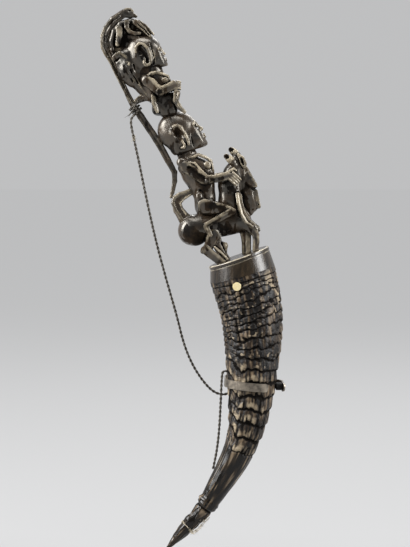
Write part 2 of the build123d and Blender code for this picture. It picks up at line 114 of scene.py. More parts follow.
def grain(p, size, seed=0):
    """Smooth noise between about -1 and 1 at points p, with lumps of this size."""
    q = np.asarray(p) / size
    i = np.floor(q).astype(int)
    f = q - i
    f = f * f * (3 - 2 * f)
    table, total = LATTICES[seed], 0
    for corner in range(8):
        step = np.array([(corner >> k) & 1 for k in range(3)])
        weight = np.prod(np.where(step, f, 1 - f), axis=-1)
        j = (i + step) % REPEAT
        total = total + weight * table[j[..., 0], j[..., 1], j[..., 2]]
    return total


def step_up(x, low, high):
    """Smooth step: 0 up to low, 1 from high on."""
    t = np.clip((x - low) / (high - low), 0, 1)
    return t * t * (3 - 2 * t)


def new_object(name, points, faces, body, material, replaces=(), values=None, second_look=None):
    """A mesh object from points (x, side, z) in millimetres, which rides on a body.

    The last argument is a second material and a weight for each point: faces above one half take it; on the
    carvings it is a duller copy of the wood, put where it paints shade.
    """
    mesh = bpy.data.meshes.new(name)
    mesh.from_pydata([tuple(p) for p in row(points)], [], [tuple(int(i) for i in f) for f in faces])
    mesh.validate()
    mesh.update()
    mesh.polygons.foreach_set("use_smooth", np.ones(len(mesh.polygons), bool))
    for key, value in (values or {}).items():
        mesh.attributes.new(key, "FLOAT", "POINT").data.foreach_set("value", value.astype(np.float32))
    piece = bpy.data.objects.new(name, mesh)
    bpy.context.scene.collection.objects.link(piece)
    mesh.materials.append(material)
    if second_look:
        mesh.materials.append(second_look[0])
        index = [int(sum(second_look[1][v] for v in f.vertices) > 0.5 * len(f.vertices)) for f in mesh.polygons]
        mesh.polygons.foreach_set("material_index", index)
    if body:
        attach(piece, body)
    if replaces:
        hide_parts(*replaces)
    return piece


# ---- Clay: a carved form kept as signed distances on a grid ----


def smooth_min(a, b, k):
    """The lesser of two distances, rounded over where they differ by less than k."""
    h = np.maximum(k - np.abs(a - b), 0)
    return np.minimum(a, b) - h * h / (4 * k)


class Clay:
    """A form on a grid of (x, side, z), negative inside, built up and carved with rounded shapes."""

    def __init__(self, low, high):
        self.start = np.floor(np.array(low) / CELL).astype(int)
        stop = np.ceil(np.array(high) / CELL).astype(int) + 1
        self.d = np.full(stop - self.start, FAR, np.float32)

    def window(self, low, high):
        """The part of the grid in a box: where it is, and its coordinates."""
        size = np.array(self.d.shape)
        a = np.clip(np.floor(np.array(low) / CELL).astype(int) - self.start, 0, size)
        b = np.clip(np.ceil(np.array(high) / CELL).astype(int) + 1 - self.start, 0, size)
        axes = [((np.arange(a[k], b[k]) + self.start[k]) * CELL).astype(np.float32) for k in range(3)]
        x, y, z = axes[0][:, None, None], axes[1][None, :, None], axes[2][None, None, :]
        return tuple(slice(int(s), int(e)) for s, e in zip(a, b)), x, y, z

    def change(self, low, high, distance, blend, both, carve):
        """Adds or carves the shape with this distance, which fills the box from low to high."""
        margin = MARGIN + blend
        low, high = np.array(low, float) - margin, np.array(high, float) + margin
        if both:
            low[1] = -high[1]
        where, x, y, z = self.window(low, high)
        if 0 in self.d[where].shape:
            return
        d = distance(x, np.abs(y) if both else y, z)
        sign = -1 if carve else 1
        self.d[where] = sign * smooth_min(sign * self.d[where], d, blend)

    def rods(self, *stations, blend=2, both=True, carve=False, flat=1.0):
        """Round cones through (x, side, z, radius), on both sides of the middle plane or as given."""
        for first, last in zip(stations, stations[1:]):
            a, b = np.array(first[:3], float), np.array(last[:3], float)
            r0, r1, ab = first[3], last[3], b - a
            square = max(float(ab @ ab), 1e-6)

            def distance(x, y, z):
                px, py, pz = x - a[0], y - a[1], z - a[2]
                t = np.clip((px * ab[0] + py * ab[1] + pz * ab[2]) / square, 0, 1)
                dy = (py - t * ab[1]) / flat
                away = np.sqrt((px - t * ab[0]) ** 2 + dy * dy + (pz - t * ab[2]) ** 2)
                return away - (r0 + (r1 - r0) * t)

            r = max(r0, r1)
            self.change(np.minimum(a, b) - r, np.maximum(a, b) + r, distance, blend, both, carve)

    def plank(self, *stations, slope=0.0, edge=0.35, blend=0.5, both=True, carve=False):
        """Flat limbs through (x, side, z, half width, half depth); slope leans the outer face down."""
        for first, last in zip(stations, stations[1:]):
            a, b = np.array(first[:3], float), np.array(last[:3], float)
            run = max(sqrt((b[0] - a[0]) ** 2 + (b[2] - a[2]) ** 2), 1e-3)
            ux, uz = (b[0] - a[0]) / run, (b[2] - a[2]) / run
            nx, nz = (-uz, ux) if ux >= 0 else (uz, -ux)

            def distance(x, y, z):
                px, pz = x - a[0], z - a[2]
                along, w = px * ux + pz * uz, px * nx + pz * nz
                t = np.clip(along / run, 0, 1)
                wide = first[3] + (last[3] - first[3]) * t
                deep = first[4] + (last[4] - first[4]) * t + slope * np.clip(w, -wide, wide)
                d = np.sqrt((along - t * run) ** 2 + w * w) - wide + edge
                e = np.abs(y - a[1] - (b[1] - a[1]) * t) - deep + edge
                outside = np.sqrt(np.maximum(d, 0) ** 2 + np.maximum(e, 0) ** 2)
                return outside + np.minimum(np.maximum(d, e), 0) - edge

            reach = max(first[3], last[3]), max(first[4], last[4]) + abs(slope) * max(first[3], last[3])
            reach = np.array([reach[0], reach[1], reach[0]])
            self.change(np.minimum(a, b) - reach, np.maximum(a, b) + reach, distance, blend, both, carve)

    def block(self, centre, half, turn=0.0, power=2.0, blend=1.2, both=True, carve=False):
        """Rounded block of these half sizes (along, to the side, up), turned in the middle plane."""
        c, s = cos(radians(turn)), sin(radians(turn))

        def distance(x, y, z):
            px, py, pz = x - centre[0], y - centre[1], z - centre[2]
            u, w = px * c + pz * s, pz * c - px * s
            f = np.abs(u / half[0]) ** power + np.abs(py / half[1]) ** power + np.abs(w / half[2]) ** power
            f = np.maximum(f, 1e-4) ** (1 / power)
            return np.sqrt(u * u + py * py + w * w) * (1 - 1 / f)

        reach = np.array([max(half), half[1], max(half)])
        centre = np.array(centre, float)
        self.change(centre - reach, centre + reach, distance, blend, both, carve)

    def groove(self, *stations, r=0.5, blend=0.3, both=True):
        self.rods(*[(*s, r) for s in stations], blend=blend, both=both, carve=True)

    def ridge(self, *stations, r=0.65, blend=0.3, both=True):
        self.rods(*[(*s, r) for s in stations], blend=blend, both=both)

    def slice(self, point, normal, blend):
        """Cuts away all beyond a plane through (x, z), square to the middle plane."""
        _, x, y, z = self.window((-1e3,) * 3, (1e3,) * 3)
        length = sqrt(normal[0] ** 2 + normal[1] ** 2)
        plane = ((x - point[0]) * normal[0] + (z - point[1]) * normal[1]) / length + 0 * y
        self.d = -smooth_min(-self.d, -plane.astype(np.float32), blend)

    def join(self, other, blend):
        at = other.start - self.start
        where = tuple(slice(int(a), int(a) + n) for a, n in zip(at, other.d.shape))
        self.d[where] = smooth_min(self.d[where], other.d, blend)

    def sample(self, p):
        """Distances at points p, in millimetres."""
        q = p / CELL - self.start
        i = np.clip(np.floor(q).astype(int), 0, np.array(self.d.shape) - 2)
        f, total = np.clip(q - i, 0, 1), 0
        for corner in range(8):
            step = np.array([(corner >> k) & 1 for k in range(3)])
            weight = np.prod(np.where(step, f, 1 - f), axis=-1)
            j = i + step
            total = total + weight * self.d[j[:, 0], j[:, 1], j[:, 2]]
        return total

    def piece(self, name, slot, body, material, replaces, wobble=0.28, spots=(), dark=(), second_look=None,
              wear_and_highlight_scale=1.0):
        """The form's skin as an object, with how pale each point is on thin ridges and how hollow it is.

        Thin ridges are paler as wear and as a painted highlight; hollows take painted shade. spots are
        rubbed pale; dark ones paint shade: blacker, duller and not pale on ridges. Each is a centre and a
        reach; the last argument scales the pale of the ridges.
        """
        grid = openvdb.FloatGrid(FAR)
        grid.copyFromArray(self.d)
        points, quads = grid.convertToQuads(0)
        p = (points + self.start) * CELL
        normal = np.stack([self.sample(p + e) - self.sample(p - e) for e in np.eye(3) * CELL], axis=1)
        normal /= np.maximum(np.linalg.norm(normal, axis=1, keepdims=True), 1e-6)

        def shut_in(far):
            """How near other surfaces stand before the skin."""
            return np.clip(1 - self.sample(p + normal * far) / far, 0, 1)

        def thin(far):
            """How little of the form lies behind the skin."""
            return np.clip(1 + self.sample(p - normal * far) / far, 0, 1)

        # hollow: painted shade where other surfaces stand close before the skin
        hollow = np.maximum(shut_in(2.0), shut_in(0.9))
        # thin ridges are paler: wear, and a painted highlight along them
        wear_and_highlight = wear_and_highlight_scale * np.maximum(thin(1.3), 0.85 * thin(2.4))
        # painted shade: hollows, faces near other surfaces, faces turned down and random patches take the
        # duller copy of the wood
        shade = (0.26 + 0.45 * shut_in(5.0) - 0.22 * normal[:, 2] + 0.26 * grain(p, 6.0, 2)
                 + 0.26 * grain(p * (1, 1, 0.4), 1.6, 3))
        drift = np.stack([grain(p, 7.0, seed) for seed in (1, 2, 3)], axis=1)
        cuts = grain(p, 2.6, 4)
        p = p + wobble * drift + normal * (0.10 * cuts)[:, None]
        a, b, c = (p[quads[:, k].astype(int)] for k in (0, 1, 2))
        facing = np.cross(b - a, c - a)
        if np.sum(facing * normal[quads[:, 0].astype(int)]) < 0:
            quads = quads[:, ::-1]
        for centre, reach in spots:
            away = np.linalg.norm(p - centre, axis=1)
            wear_and_highlight = np.maximum(wear_and_highlight, 1.6 * (1 - step_up(away, reach * 0.7, reach)))
        deep, uneven = hollow * 1.1, 1.2 * grain(p, 2.4, 5) + 0.6 * grain(p, 1.0, 3)
        # dark spots paint shade: blacker, on the duller copy, and without pale ridges
        for centre, reach in dark:
            away = np.linalg.norm(p * (1, 0, 1) + np.abs(p) * (0, 1, 0) - centre, axis=1) + uneven
            hollow = np.maximum(hollow, 0.6 * (1 - step_up(away, reach * 0.2, reach * 1.2)))
            shade += 0.3 * (1 - step_up(away, reach * 0.6, reach * 1.4))
            wear_and_highlight = wear_and_highlight * step_up(away, reach * 0.5, reach * 1.2)
        return new_object(name, p, quads, body, material, replaces, {"wear_and_highlight": wear_and_highlight, "hollow": hollow},
                          second_look and (second_look, np.maximum(deep, shade)))


# ---- Materials ----


def make_material(name):
    material = bpy.data.materials.new(name)
    material.use_nodes = True
    tree = material.node_tree
    tree.nodes.clear()
    out = tree.nodes.new("ShaderNodeOutputMaterial")
    shader = tree.nodes.new("ShaderNodeBsdfPrincipled")
    tree.links.new(shader.outputs[0], out.inputs["Surface"])
    return material, tree, shader


def node(tree, kind, links=(), **settings):
    """A node with settings by property or socket name, and links given as (socket, output)."""
    n = tree.nodes.new("ShaderNode" + kind)
    for key, value in settings.items():
        if hasattr(n, key):
            setattr(n, key, value)
        else:
            n.inputs[key.replace("_", " ")].default_value = value
    for socket, output in links:
        tree.links.new(output, n.inputs[socket])
    return n


def place(tree, scale=(1, 1, 1), turn=(0, 0, 0)):
    """Coordinates in the object, in millimetres times scale."""
    here = node(tree, "TexCoord").outputs["Object"]
    stretch = tuple(s / MM for s in scale)
    m = node(tree, "Mapping", [("Vector", here)])
    m.inputs["Rotation"].default_value = turn
    m.inputs["Scale"].default_value = stretch
    return m.outputs[0]


def noise(tree, where, size, detail=3.0, rough=0.55):
    n = node(tree, "TexNoise", [("Vector", where)], Scale=1 / size, Detail=detail, Roughness=rough)
    return n.outputs["Fac"]


def ramp(tree, value, *stops):
    """Colours, or numbers for greys, at positions between 0 and 1."""
    n = node(tree, "ValToRGB", [("Fac", value)])
    for i, (position, colour) in enumerate(stops):
        if not isinstance(colour, tuple):
            colour = (colour,) * 3
        if i < 2:
            element = n.color_ramp.elements[i]
            element.position = position
        else:
            element = n.color_ramp.elements.new(position)
        element.color = (*colour, 1)
    return n.outputs["Color"]


def mix(tree, amount, a, b):
    """From a to b by amount, each a socket, a number or a colour."""
    n = node(tree, "Mix", data_type="RGBA")
    for socket, value in ((0, amount), (6, a), (7, b)):
        if isinstance(value, (int, float)):
            n.inputs[socket].default_value = value if socket == 0 else (value, value, value, 1)
        elif isinstance(value, tuple):
            n.inputs[socket].default_value = (*value, 1)
        else:
            tree.links.new(value, n.inputs[socket])
    return n.outputs[2]


def math(tree, operation, a, b=0.0, c=0.0):
    n = node(tree, "Math", operation=operation)
    for i, value in enumerate((a, b, c)):
        if isinstance(value, (int, float)):
            n.inputs[i].default_value = value
        else:
            tree.links.new(value, n.inputs[i])
    return n.outputs[0]


def attribute(tree, name):
    return node(tree, "Attribute", attribute_name=name).outputs["Fac"]


def bump(tree, shader, height, distance, strength=1.0):
    n = node(tree, "Bump", [("Height", height)], Strength=strength, Distance=distance * MM)
    tree.links.new(n.outputs[0], shader.inputs["Normal"])


def carved_wood(name, dark, brown, wear_and_highlight_colour, gloss, level):
    """Handled, almost black wood: brown in places; paler on thin ridges, as wear and as a painted highlight;
    near black in the hollows as painted shade.
    """
    material, tree, shader = make_material(name)
    flat = place(tree)
    along = place(tree, (1, 1, 0.16), (0, radians(-24), 0))
    patches = noise(tree, flat, 11.0, 3.0)
    streaks = noise(tree, along, 0.9, 4.0, 0.6)
    tone = math(tree, "ADD", math(tree, "MULTIPLY", patches, 0.85), math(tree, "MULTIPLY", streaks, 0.22))
    base = ramp(tree, tone, (0.44, dark), (0.68, brown))
    # thin ridges are paler: wear, and a painted highlight along them
    wear_and_highlight = attribute(tree, "wear_and_highlight")
    wear_and_highlight_mask = math(tree, "MULTIPLY", wear_and_highlight, noise(tree, flat, 4.0, 3.0))
    wear_and_highlight_mask = ramp(tree, wear_and_highlight_mask, (0.14, 0.0), (0.40, 1.0))
    base = mix(tree, wear_and_highlight_mask, base, wear_and_highlight_colour)
    # painted shade: near black in the hollows
    deep = ramp(tree, attribute(tree, "hollow"), (0.15, 0.0), (0.75, 1.0))
    base = mix(tree, deep, base, (0.004, 0.003, 0.0024))
    tree.links.new(base, shader.inputs["Base Color"])
    rough = math(tree, "ADD", noise(tree, flat, 5.0, 3.0), math(tree, "MULTIPLY", deep, 0.6))
    rough = math(tree, "SUBTRACT", rough, math(tree, "MULTIPLY", wear_and_highlight_mask, 0.15))
    rough = node(tree, "MapRange", [("Value", rough)], To_Min=gloss[0], To_Max=gloss[1]).outputs[0]
    tree.links.new(rough, shader.inputs["Roughness"])
    shader.inputs["IOR"].default_value = 1.5
    shader.inputs["Specular IOR Level"].default_value = level
    shader.inputs["Specular Tint"].default_value = (1.0, 0.94, 0.83, 1)
    facets = node(tree, "TexVoronoi", [("Vector", flat)], Scale=1 / 4.5, feature="SMOOTH_F1",
                  Smoothness=0.6).outputs["Distance"]
    height = math(tree, "ADD", math(tree, "MULTIPLY", facets, 0.5), math(tree, "MULTIPLY", streaks, 0.16))
    bump(tree, shader, height, 0.5)
    return material


def horn_look():
    """Ringed horn: near black in the grooves as painted shade, brown fibres, cream on the lips of the rings
    that is partly a painted highlight, glossy to the tip.
    """
    material, tree, shader = make_material("ringed_horn")
    flat = place(tree)
    crest, groove, polish = (attribute(tree, key) for key in ("crest", "groove", "polish"))
    fibre = attribute(tree, "fibre")
    dust = noise(tree, flat, 2.0, 6.0, 0.7)
    body = ramp(tree, fibre, (0.30, (0.005, 0.004, 0.0035)), (0.60, (0.034, 0.022, 0.013)),
                (0.95, (0.20, 0.145, 0.09)))
    # cream on the crests: partly the lips' own colour, partly a painted highlight
    pale = ramp(tree, math(tree, "MULTIPLY", crest, math(tree, "ADD", dust, 0.12)), (0.15, 0.0), (0.50, 1.0))
    body = mix(tree, pale, body, (0.35, 0.28, 0.19))
    # painted shade: the grooves are near black
    body = mix(tree, groove, body, painted_groove_shade)
    sleek = ramp(tree, fibre, (0.42, (0.006, 0.005, 0.004)), (0.74, (0.03, 0.021, 0.013)),
                 (1.0, (0.20, 0.15, 0.10)))
    body = mix(tree, polish, body, sleek)
    tree.links.new(body, shader.inputs["Base Color"])
    rough = math(tree, "MULTIPLY_ADD", polish, -0.14, 0.30)
    rough = math(tree, "ADD", rough, math(tree, "MULTIPLY", dust, 0.16))
    rough = math(tree, "ADD", rough, math(tree, "MULTIPLY", pale, 0.10))
    rough = math(tree, "ADD", rough, math(tree, "MULTIPLY", groove, 0.30))
    tree.links.new(rough, shader.inputs["Roughness"])
    fine = noise(tree, flat, 1.3, 4.0, 0.6)
    coarse = math(tree, "MULTIPLY", fine, math(tree, "SUBTRACT", 1.05, polish))
    bump(tree, shader, coarse, 0.35)
    shader.inputs["Specular IOR Level"].default_value = 0.30
    return material


def plain_look(name, low, high, size, rough, metal=0.0, distance=0.1, scale=(1, 1, 1), gloss=0.5, pale=None):
    """A surface mottled between two colours, with fine relief; pale(tree) says where its rim is pale, as wear
    with a painted highlight.
    """
    material, tree, shader = make_material(name)
    where = place(tree, scale)
    tone = noise(tree, where, size, 5.0, 0.6)
    colour = ramp(tree, tone, (0.3, low), (0.7, high))
    if pale:
        colour = mix(tree, pale(tree), colour, pale_rim_and_highlight)
    tree.links.new(colour, shader.inputs["Base Color"])
    span = node(tree, "MapRange", [("Value", tone)], To_Min=rough[0], To_Max=rough[1]).outputs[0]
    tree.links.new(span, shader.inputs["Roughness"])
    shader.inputs["Metallic"].default_value = metal
    shader.inputs["Specular IOR Level"].default_value = gloss
    bump(tree, shader, noise(tree, where, size / 3, 4.0, 0.6), distance)
    return material


def rim(point, lean, low, high, radius, knob=None, share=1.0):
    """Where a round edge square to an axis that leans from the upright is pale, as wear with a painted
    highlight along it, and a lump on it.
    """
    axis = (-sin(radians(lean)), 0.0, cos(radians(lean)))

    def where(tree):
        here = node(tree, "TexCoord").outputs["Object"]
        away = node(tree, "VectorMath", [("Vector", here)], operation="SUBTRACT")
        away.inputs[1].default_value = tuple(row((point[0], 0, point[1]))[0])
        up = node(tree, "VectorMath", [("Vector", away.outputs[0])], operation="DOT_PRODUCT")
        up.inputs[1].default_value = axis
        far = node(tree, "VectorMath", [("Vector", away.outputs[0])], operation="LENGTH").outputs["Value"]
        t = up.outputs["Value"]
        ragged = math(tree, "MULTIPLY", noise(tree, place(tree), 3.0), 0.7 * MM)
        t = math(tree, "SUBTRACT", t, ragged)
        inside = math(tree, "GREATER_THAN", t, (low - 0.35) * MM)
        inside = math(tree, "MULTIPLY", inside, math(tree, "LESS_THAN", t, (high + 0.1) * MM))
        mask = math(tree, "MULTIPLY", inside, math(tree, "GREATER_THAN", far, radius * MM))
        if knob:
            near = node(tree, "VectorMath", [("Vector", here)], operation="DISTANCE")
            near.inputs[1].default_value = tuple(row(knob[:3])[0])
            spot = math(tree, "LESS_THAN", math(tree, "ADD", near.outputs["Value"], ragged), knob[3] * MM)
            mask = math(tree, "MAXIMUM", mask, spot)
        patchy = noise(tree, place(tree), 6.0)
        patchy = node(tree, "MapRange", [("Value", patchy)], From_Min=0.35, From_Max=0.6).outputs[0]
        return math(tree, "MULTIPLY", mask, math(tree, "MULTIPLY", patchy, share))

    return where


# pale of the neck ring's and platform's rims: wear, with a painted highlight
pale_rim_and_highlight = (0.50, 0.44, 0.33)
# near black painted shade of the horn's grooves
painted_groove_shade = (0.0025, 0.002, 0.0018)
# near-black and brown of the wood, and the pale of its thin ridges, which is wear and painted highlight
wood_colours = (0.005, 0.004, 0.0035), (0.05, 0.033, 0.02), (0.33, 0.28, 0.20)
wood = carved_wood("carved_wood_look", *wood_colours, (0.20, 0.42), 1.0)
# a duller copy of the same wood, put on hollows, undersides, places near other surfaces and shade spots:
# painted shade
shaded_wood = carved_wood("shaded_wood_look", *wood_colours, (0.5, 0.75), 0.12)
# near-black, dull look for the painted shade of the horn's grooves and for its dark fibres
black_shade_and_fibre = plain_look("black_shade_and_fibre_look", painted_groove_shade, (0.009, 0.0065, 0.0045), 1.2, (0.8, 0.95), distance=0.15,
                  gloss=0.12)
horn_material = horn_look()
neck_colours = (0.003, 0.0025, 0.002), (0.042, 0.027, 0.013), 3.2, (0.17, 0.34)
ring_rim = rim(seat, neck_top_tilt, -platform_t - 0.9, -platform_t, neck_top_r - 1.2, share=0.4)
platform_rim = rim(seat, neck_top_tilt, -0.7, 0.4, neck_top_r - 0.7, (-16.6, -2.0, 87.2, 3.6))
neck_wood, platform_wood = (
    plain_look(name, *neck_colours, scale=(1, 1, 0.14), gloss=0.7, pale=pale)
    for name, pale in (("neck_wood_look", ring_rim), ("platform_look", platform_rim))
)
bone = plain_look("bone_look", (0.78, 0.62, 0.30), (0.86, 0.76, 0.47), 1.5, (0.35, 0.55), distance=0.05)
patina = plain_look("patina_look", (0.09, 0.08, 0.068), (0.40, 0.345, 0.275), 5.0, (0.22, 0.42), 0.9, 0.04)
felt = plain_look("felt_look", (0.01, 0.01, 0.01), (0.035, 0.033, 0.03), 0.6, (0.9, 1.0), distance=0.25)
fibre_look = plain_look("cord_look", (0.010, 0.008, 0.0065), (0.17, 0.15, 0.12), 1.1, (0.6, 0.8),
                        distance=0.12)
thread_look = plain_look("thread_look", (0.30, 0.25, 0.17), (0.62, 0.55, 0.42), 0.8, (0.7, 0.9),
                         distance=0.08)

# ---- Horn: middle line and radii as in the construction, rings and fibres as relief ----

horn_line = np.array([
    (6.9, 82.5), (11.1, 66.4), (13.9, 48.9), (14.3, 32.9), (13.6, 15.4), (13.0, 0.0), (9.4, -26.6),
    (5.0, -40.6), (-2.0, -54.6), (-10.5, -68.6), (-19.5, -82.6), (-32.3, -96.6), (-47.3, -112.7),
])
horn_radii = np.array([
    (0.0, 23.4), (16.6, 22.6), (34.4, 21.5), (50.4, 20.0), (67.9, 18.2), (83.3, 16.6), (96.0, 15.0),
    (110.1, 13.0), (124.8, 11.0), (140.4, 9.8), (156.8, 8.1), (166.5, 7.0), (168.3, 7.6), (171.8, 7.3),
    (173.2, 6.2), (183.0, 5.0), (188.0, 5.4), (191.5, 4.7), (196.0, 4.5), (201.8, 3.5), (208.3, 2.2),
    (214.2, 0.5),
])
ring_count, ring_first, ring_growth = 18, 3.7, 0.30
ring_rise, ring_groove = 0.25, 0.45
horn_wall, cavity_depth, cavity_end_share = 4.2, 118.0, 0.25
spigot_seat_r, spigot_seat_depth = 18.9, 12.4
rings_end, nub_at, bulb_at = 126.0, 168.6, 186.6  # down the middle line, as all distances s below
leaves_from, leaves_to = 174.0, 185.0


def smooth_line(points, head, tail):
    """Dense points of the clamped cubic spline through points, and their distances along it."""
    chords = np.linalg.norm(np.diff(points, axis=0), axis=1)
    t = np.concatenate([[0], np.cumsum(chords)])
    n = len(points)
    a, b = np.eye(n), np.zeros((n, 2))
    b[0], b[-1] = head / np.linalg.norm(head), tail / np.linalg.norm(tail)
    for i in range(1, n - 1):
        h0, h1 = chords[i - 1], chords[i]
        a[i, i - 1 : i + 2] = h1, 2 * (h0 + h1), h0
        b[i] = 3 * (h1 / h0 * (points[i] - points[i - 1]) + h0 / h1 * (points[i + 1] - points[i]))
    slopes = np.linalg.solve(a, b)
    u = np.linspace(0, t[-1], 1600)
    i = np.clip(np.searchsorted(t, u) - 1, 0, n - 2)
    h = chords[i][:, None]
    v = ((u - t[i]) / chords[i])[:, None]
    p = (
        points[i] * (1 + 2 * v) * (1 - v) ** 2 + points[i + 1] * v * v * (3 - 2 * v)
        + h * (slopes[i] * v * (1 - v) ** 2 + slopes[i + 1] * v * v * (v - 1))
    )
    s = np.concatenate([[0], np.cumsum(np.linalg.norm(np.diff(p, axis=0), axis=1))])
    return p, s


horn_path, horn_s = smooth_line(
    horn_line,
    np.array((sin(radians(mouth_tilt)), -cos(radians(mouth_tilt)))), np.array((-0.72, -0.69)),
)


def horn_frame(s):
    """Middle point, and the direction to the horn's outer (right) side, at distances s."""
    p = np.stack([np.interp(s, horn_s, horn_path[:, k]) for k in (0, 1)], axis=-1)
    ahead = np.stack([np.interp(s + 0.5, horn_s, horn_path[:, k]) for k in (0, 1)], axis=-1)
    behind = np.stack([np.interp(s - 0.5, horn_s, horn_path[:, k]) for k in (0, 1)], axis=-1)
    along = ahead - behind
    along /= np.linalg.norm(along, axis=-1, keepdims=True)
    return p, np.stack([-along[..., 1], along[..., 0]], axis=-1)


def horn_points(s, angle, radius):
    """Points (x, side, z) of the horn: angle 0 is the outer right side, 90 degrees the front."""
    p, outward = horn_frame(s)
    x = p[..., 0] + outward[..., 0] * radius * np.cos(angle)
    z = p[..., 1] + outward[..., 1] * radius * np.cos(angle)
    return np.stack([x, -radius * np.sin(angle), z], axis=-1)


# the low edge of each ring: close under the mouth, then wide and uneven
ring_edges = np.array(
    [ring_first * k + ring_growth * k * (k - 1) / 2 for k in range(12)]
    + [66.2, 75.3, 84.2, 93.8, 104.2, 114.2, 125.8]
)


def plain_radius(s):
    """The horn's radius without its relief."""
    return np.interp(s, horn_radii[:, 0], horn_radii[:, 1])


def bulge(s, angle, s0, degrees, length, width, height):
    """Rounded lump of the horn's relief at distance s0 and this angle, its size in millimetres."""
    around = (np.degrees(angle) - degrees + 180) % 360 - 180
    radius = plain_radius(s)
    return height * np.exp(-(((s - s0) / length) ** 2) - (radians(1) * around * radius / width) ** 2)


def dent(s, s0, length):
    """1 at s0, and less on both sides over this length."""
    return np.exp(-(((s - s0) / length) ** 2))


def horn_skin():
    """The horn's outside with its relief, its mouth and its cavity, and how each point of it looks."""
    rows = np.concatenate([np.arange(0, 127, 0.34), np.arange(127, 213.6, 0.66), [214.0]])
    columns = 176
    s, angle = np.meshgrid(rows, np.arange(columns) * 2 * pi / columns, indexing="ij")
    radius = plain_radius(s)
    on = np.stack([radius * np.cos(angle), radius * np.sin(angle), s], axis=-1)
    degrees = np.degrees(angle)
    # the rings run down toward a crease on the left of the front, and wander
    crease = 118 + 6 * grain(np.stack([s * 0, s * 0, s], -1), 30, 1)
    rise = np.interp(degrees - crease + 118, (0, 50, 90, 118, 145, 180, 215, 262, 305, 360),
                     (0, -1.6, -0.8, -2.2, 3.6, 7.4, 7.8, 3.0, 0.6, 0))
    low = step_up(s, 52, 78)
    wander = 1.8 * grain(on, 10, 2) + (1.5 - 0.9 * low) * grain(on * (1, 1, 0.5), 3.0, 3)
    ragged = (0.55 + 0.5 * low) * grain(on * (1, 1, 0.12), 1.1, 4)
    slant = 3.4 * np.cos(angle) * step_up(s, 3, 14) * (1 - step_up(s, 40, 70))
    t = s + rise * step_up(s, 34, 62) + slant + wander * step_up(s, 2, 10) + ragged * step_up(s, 4, 14)
    k = np.clip(np.searchsorted(ring_edges, t) - 1, 0, ring_count - 1)
    phase = np.clip((t - ring_edges[k]) / np.diff(ring_edges)[k], 0, 1)
    ringed = step_up(t, -0.5, 1.5) * (1 - step_up(t, rings_end - 1.5, rings_end + 0.5))
    # each ring swells to its lip, then falls steeply into the groove
    lip = 0.80
    tooth = np.where(phase < lip, phase / lip, (1 - phase) / (1 - lip))
    depth = np.interp(s, [0, 12, 60, rings_end], [0.7, 1.25, 1.7, 1.9])
    knob = grain(on * (1, 1, 0.45), 3.0, 5)
    rib = grain(on * (1, 1, 0.16), 1.25, 1)
    chips = grain(on * (1, 1, 0.8), 2.4, 2) + 0.5 * grain(on, 1.0, 4)
    relief = ring_rise + depth * (np.clip(tooth, 0, 1) ** 0.38 - 1.0) * ringed
    relief += ringed * (0.30 * np.minimum(knob, 0.2) + 0.28 * np.minimum(rib, 0.15) - 0.05)
    relief -= ringed * (0.65 - 0.4 * low) * step_up(chips, 0.15, 0.6)
    split = dent(degrees, crease, 3.2) * step_up(s, 22, 32) * (1 - step_up(s, 46, 58)) * ringed
    relief -= 0.8 * split
    smooth = 1 - ringed
    relief += smooth * (0.10 * rib + 0.12 * grain(on, 6, 3) - ring_rise)
    # long scratches and flutes toward the tip
    flutes = grain(on * (1, 1, 0.05), 1.5, 4)
    relief -= smooth * step_up(s, rings_end, rings_end + 8) * 0.16 * step_up(flutes, 0.1, 0.6)
    # carved tip: nub, two rings, leaves, a bulb and facets
    relief += bulge(s, angle, nub_at, 165, 1.6, 2.2, 1.0)
    rooted = step_up(s, leaves_from, leaves_from + 2)
    tip = rooted * (1 - step_up(s, leaves_to - 2, leaves_to))
    leaf = np.abs(((degrees + 20) % 72) / 36 - 1)
    leaf = step_up(0.95 - leaf - (s - leaves_from - 2) / 11, 0.0, 0.25)
    relief += tip * (0.55 * leaf - 0.1)
    relief -= 0.35 * dent(s, 173.6, 0.55) + 0.3 * dent(s, 170.2, 0.5)
    relief += bulge(s, angle, bulb_at, 150, 2.6, 3.2, 0.75) + bulge(s, angle, bulb_at, 330, 2.6, 3.2, 0.5)
    relief -= 0.3 * dent(s, 184.2, 0.5)
    facets = np.abs(((degrees + 3 * s) % 60) - 30) / 30
    relief += step_up(s, 194, 197) * (0.35 * facets - 0.3) * np.interp(s, [196, 214], [1, 0.2])
    relief += step_up(s, 150, 160) * 0.12 * grain(on, 2.2, 5)
    outer = horn_points(s, angle, np.maximum(radius + relief, 0.25))
    # inside: the mouth's seat for the spigot, then the cavity
    depths = np.array([0.0, spigot_seat_depth, spigot_seat_depth + 0.1, 30, 50, 70, 90, 105, 113, 117.9])
    inner = plain_radius(depths) - ring_groove - horn_wall
    inner *= 1 - (1 - cavity_end_share) * (depths / cavity_depth) ** 4
    inner[depths <= spigot_seat_depth] = spigot_seat_r
    si, ai = np.meshgrid(depths, np.arange(columns) * 2 * pi / columns, indexing="ij")
    inside = horn_points(si, ai, inner[:, None])
    points = np.concatenate([outer.reshape(-1, 3), inside.reshape(-1, 3)])

    def quads(first, count, flip):
        i, j = np.meshgrid(np.arange(count - 1), np.arange(columns), indexing="ij")
        a, b = first + i * columns + j, first + i * columns + (j + 1) % columns
        q = np.stack([a, b, b + columns, a + columns], -1).reshape(-1, 4)
        return q[:, ::-1] if flip else q

    n, m = len(rows), len(depths)
    faces = list(quads(0, n, True)) + list(quads(n * columns, m, False))
    for j in range(columns):
        after = (j + 1) % columns
        faces.append((j, after, n * columns + after, n * columns + j))
    faces.append([(n - 1) * columns + j for j in range(columns)][::-1])
    faces.append([(n + m - 1) * columns + j for j in range(columns)])
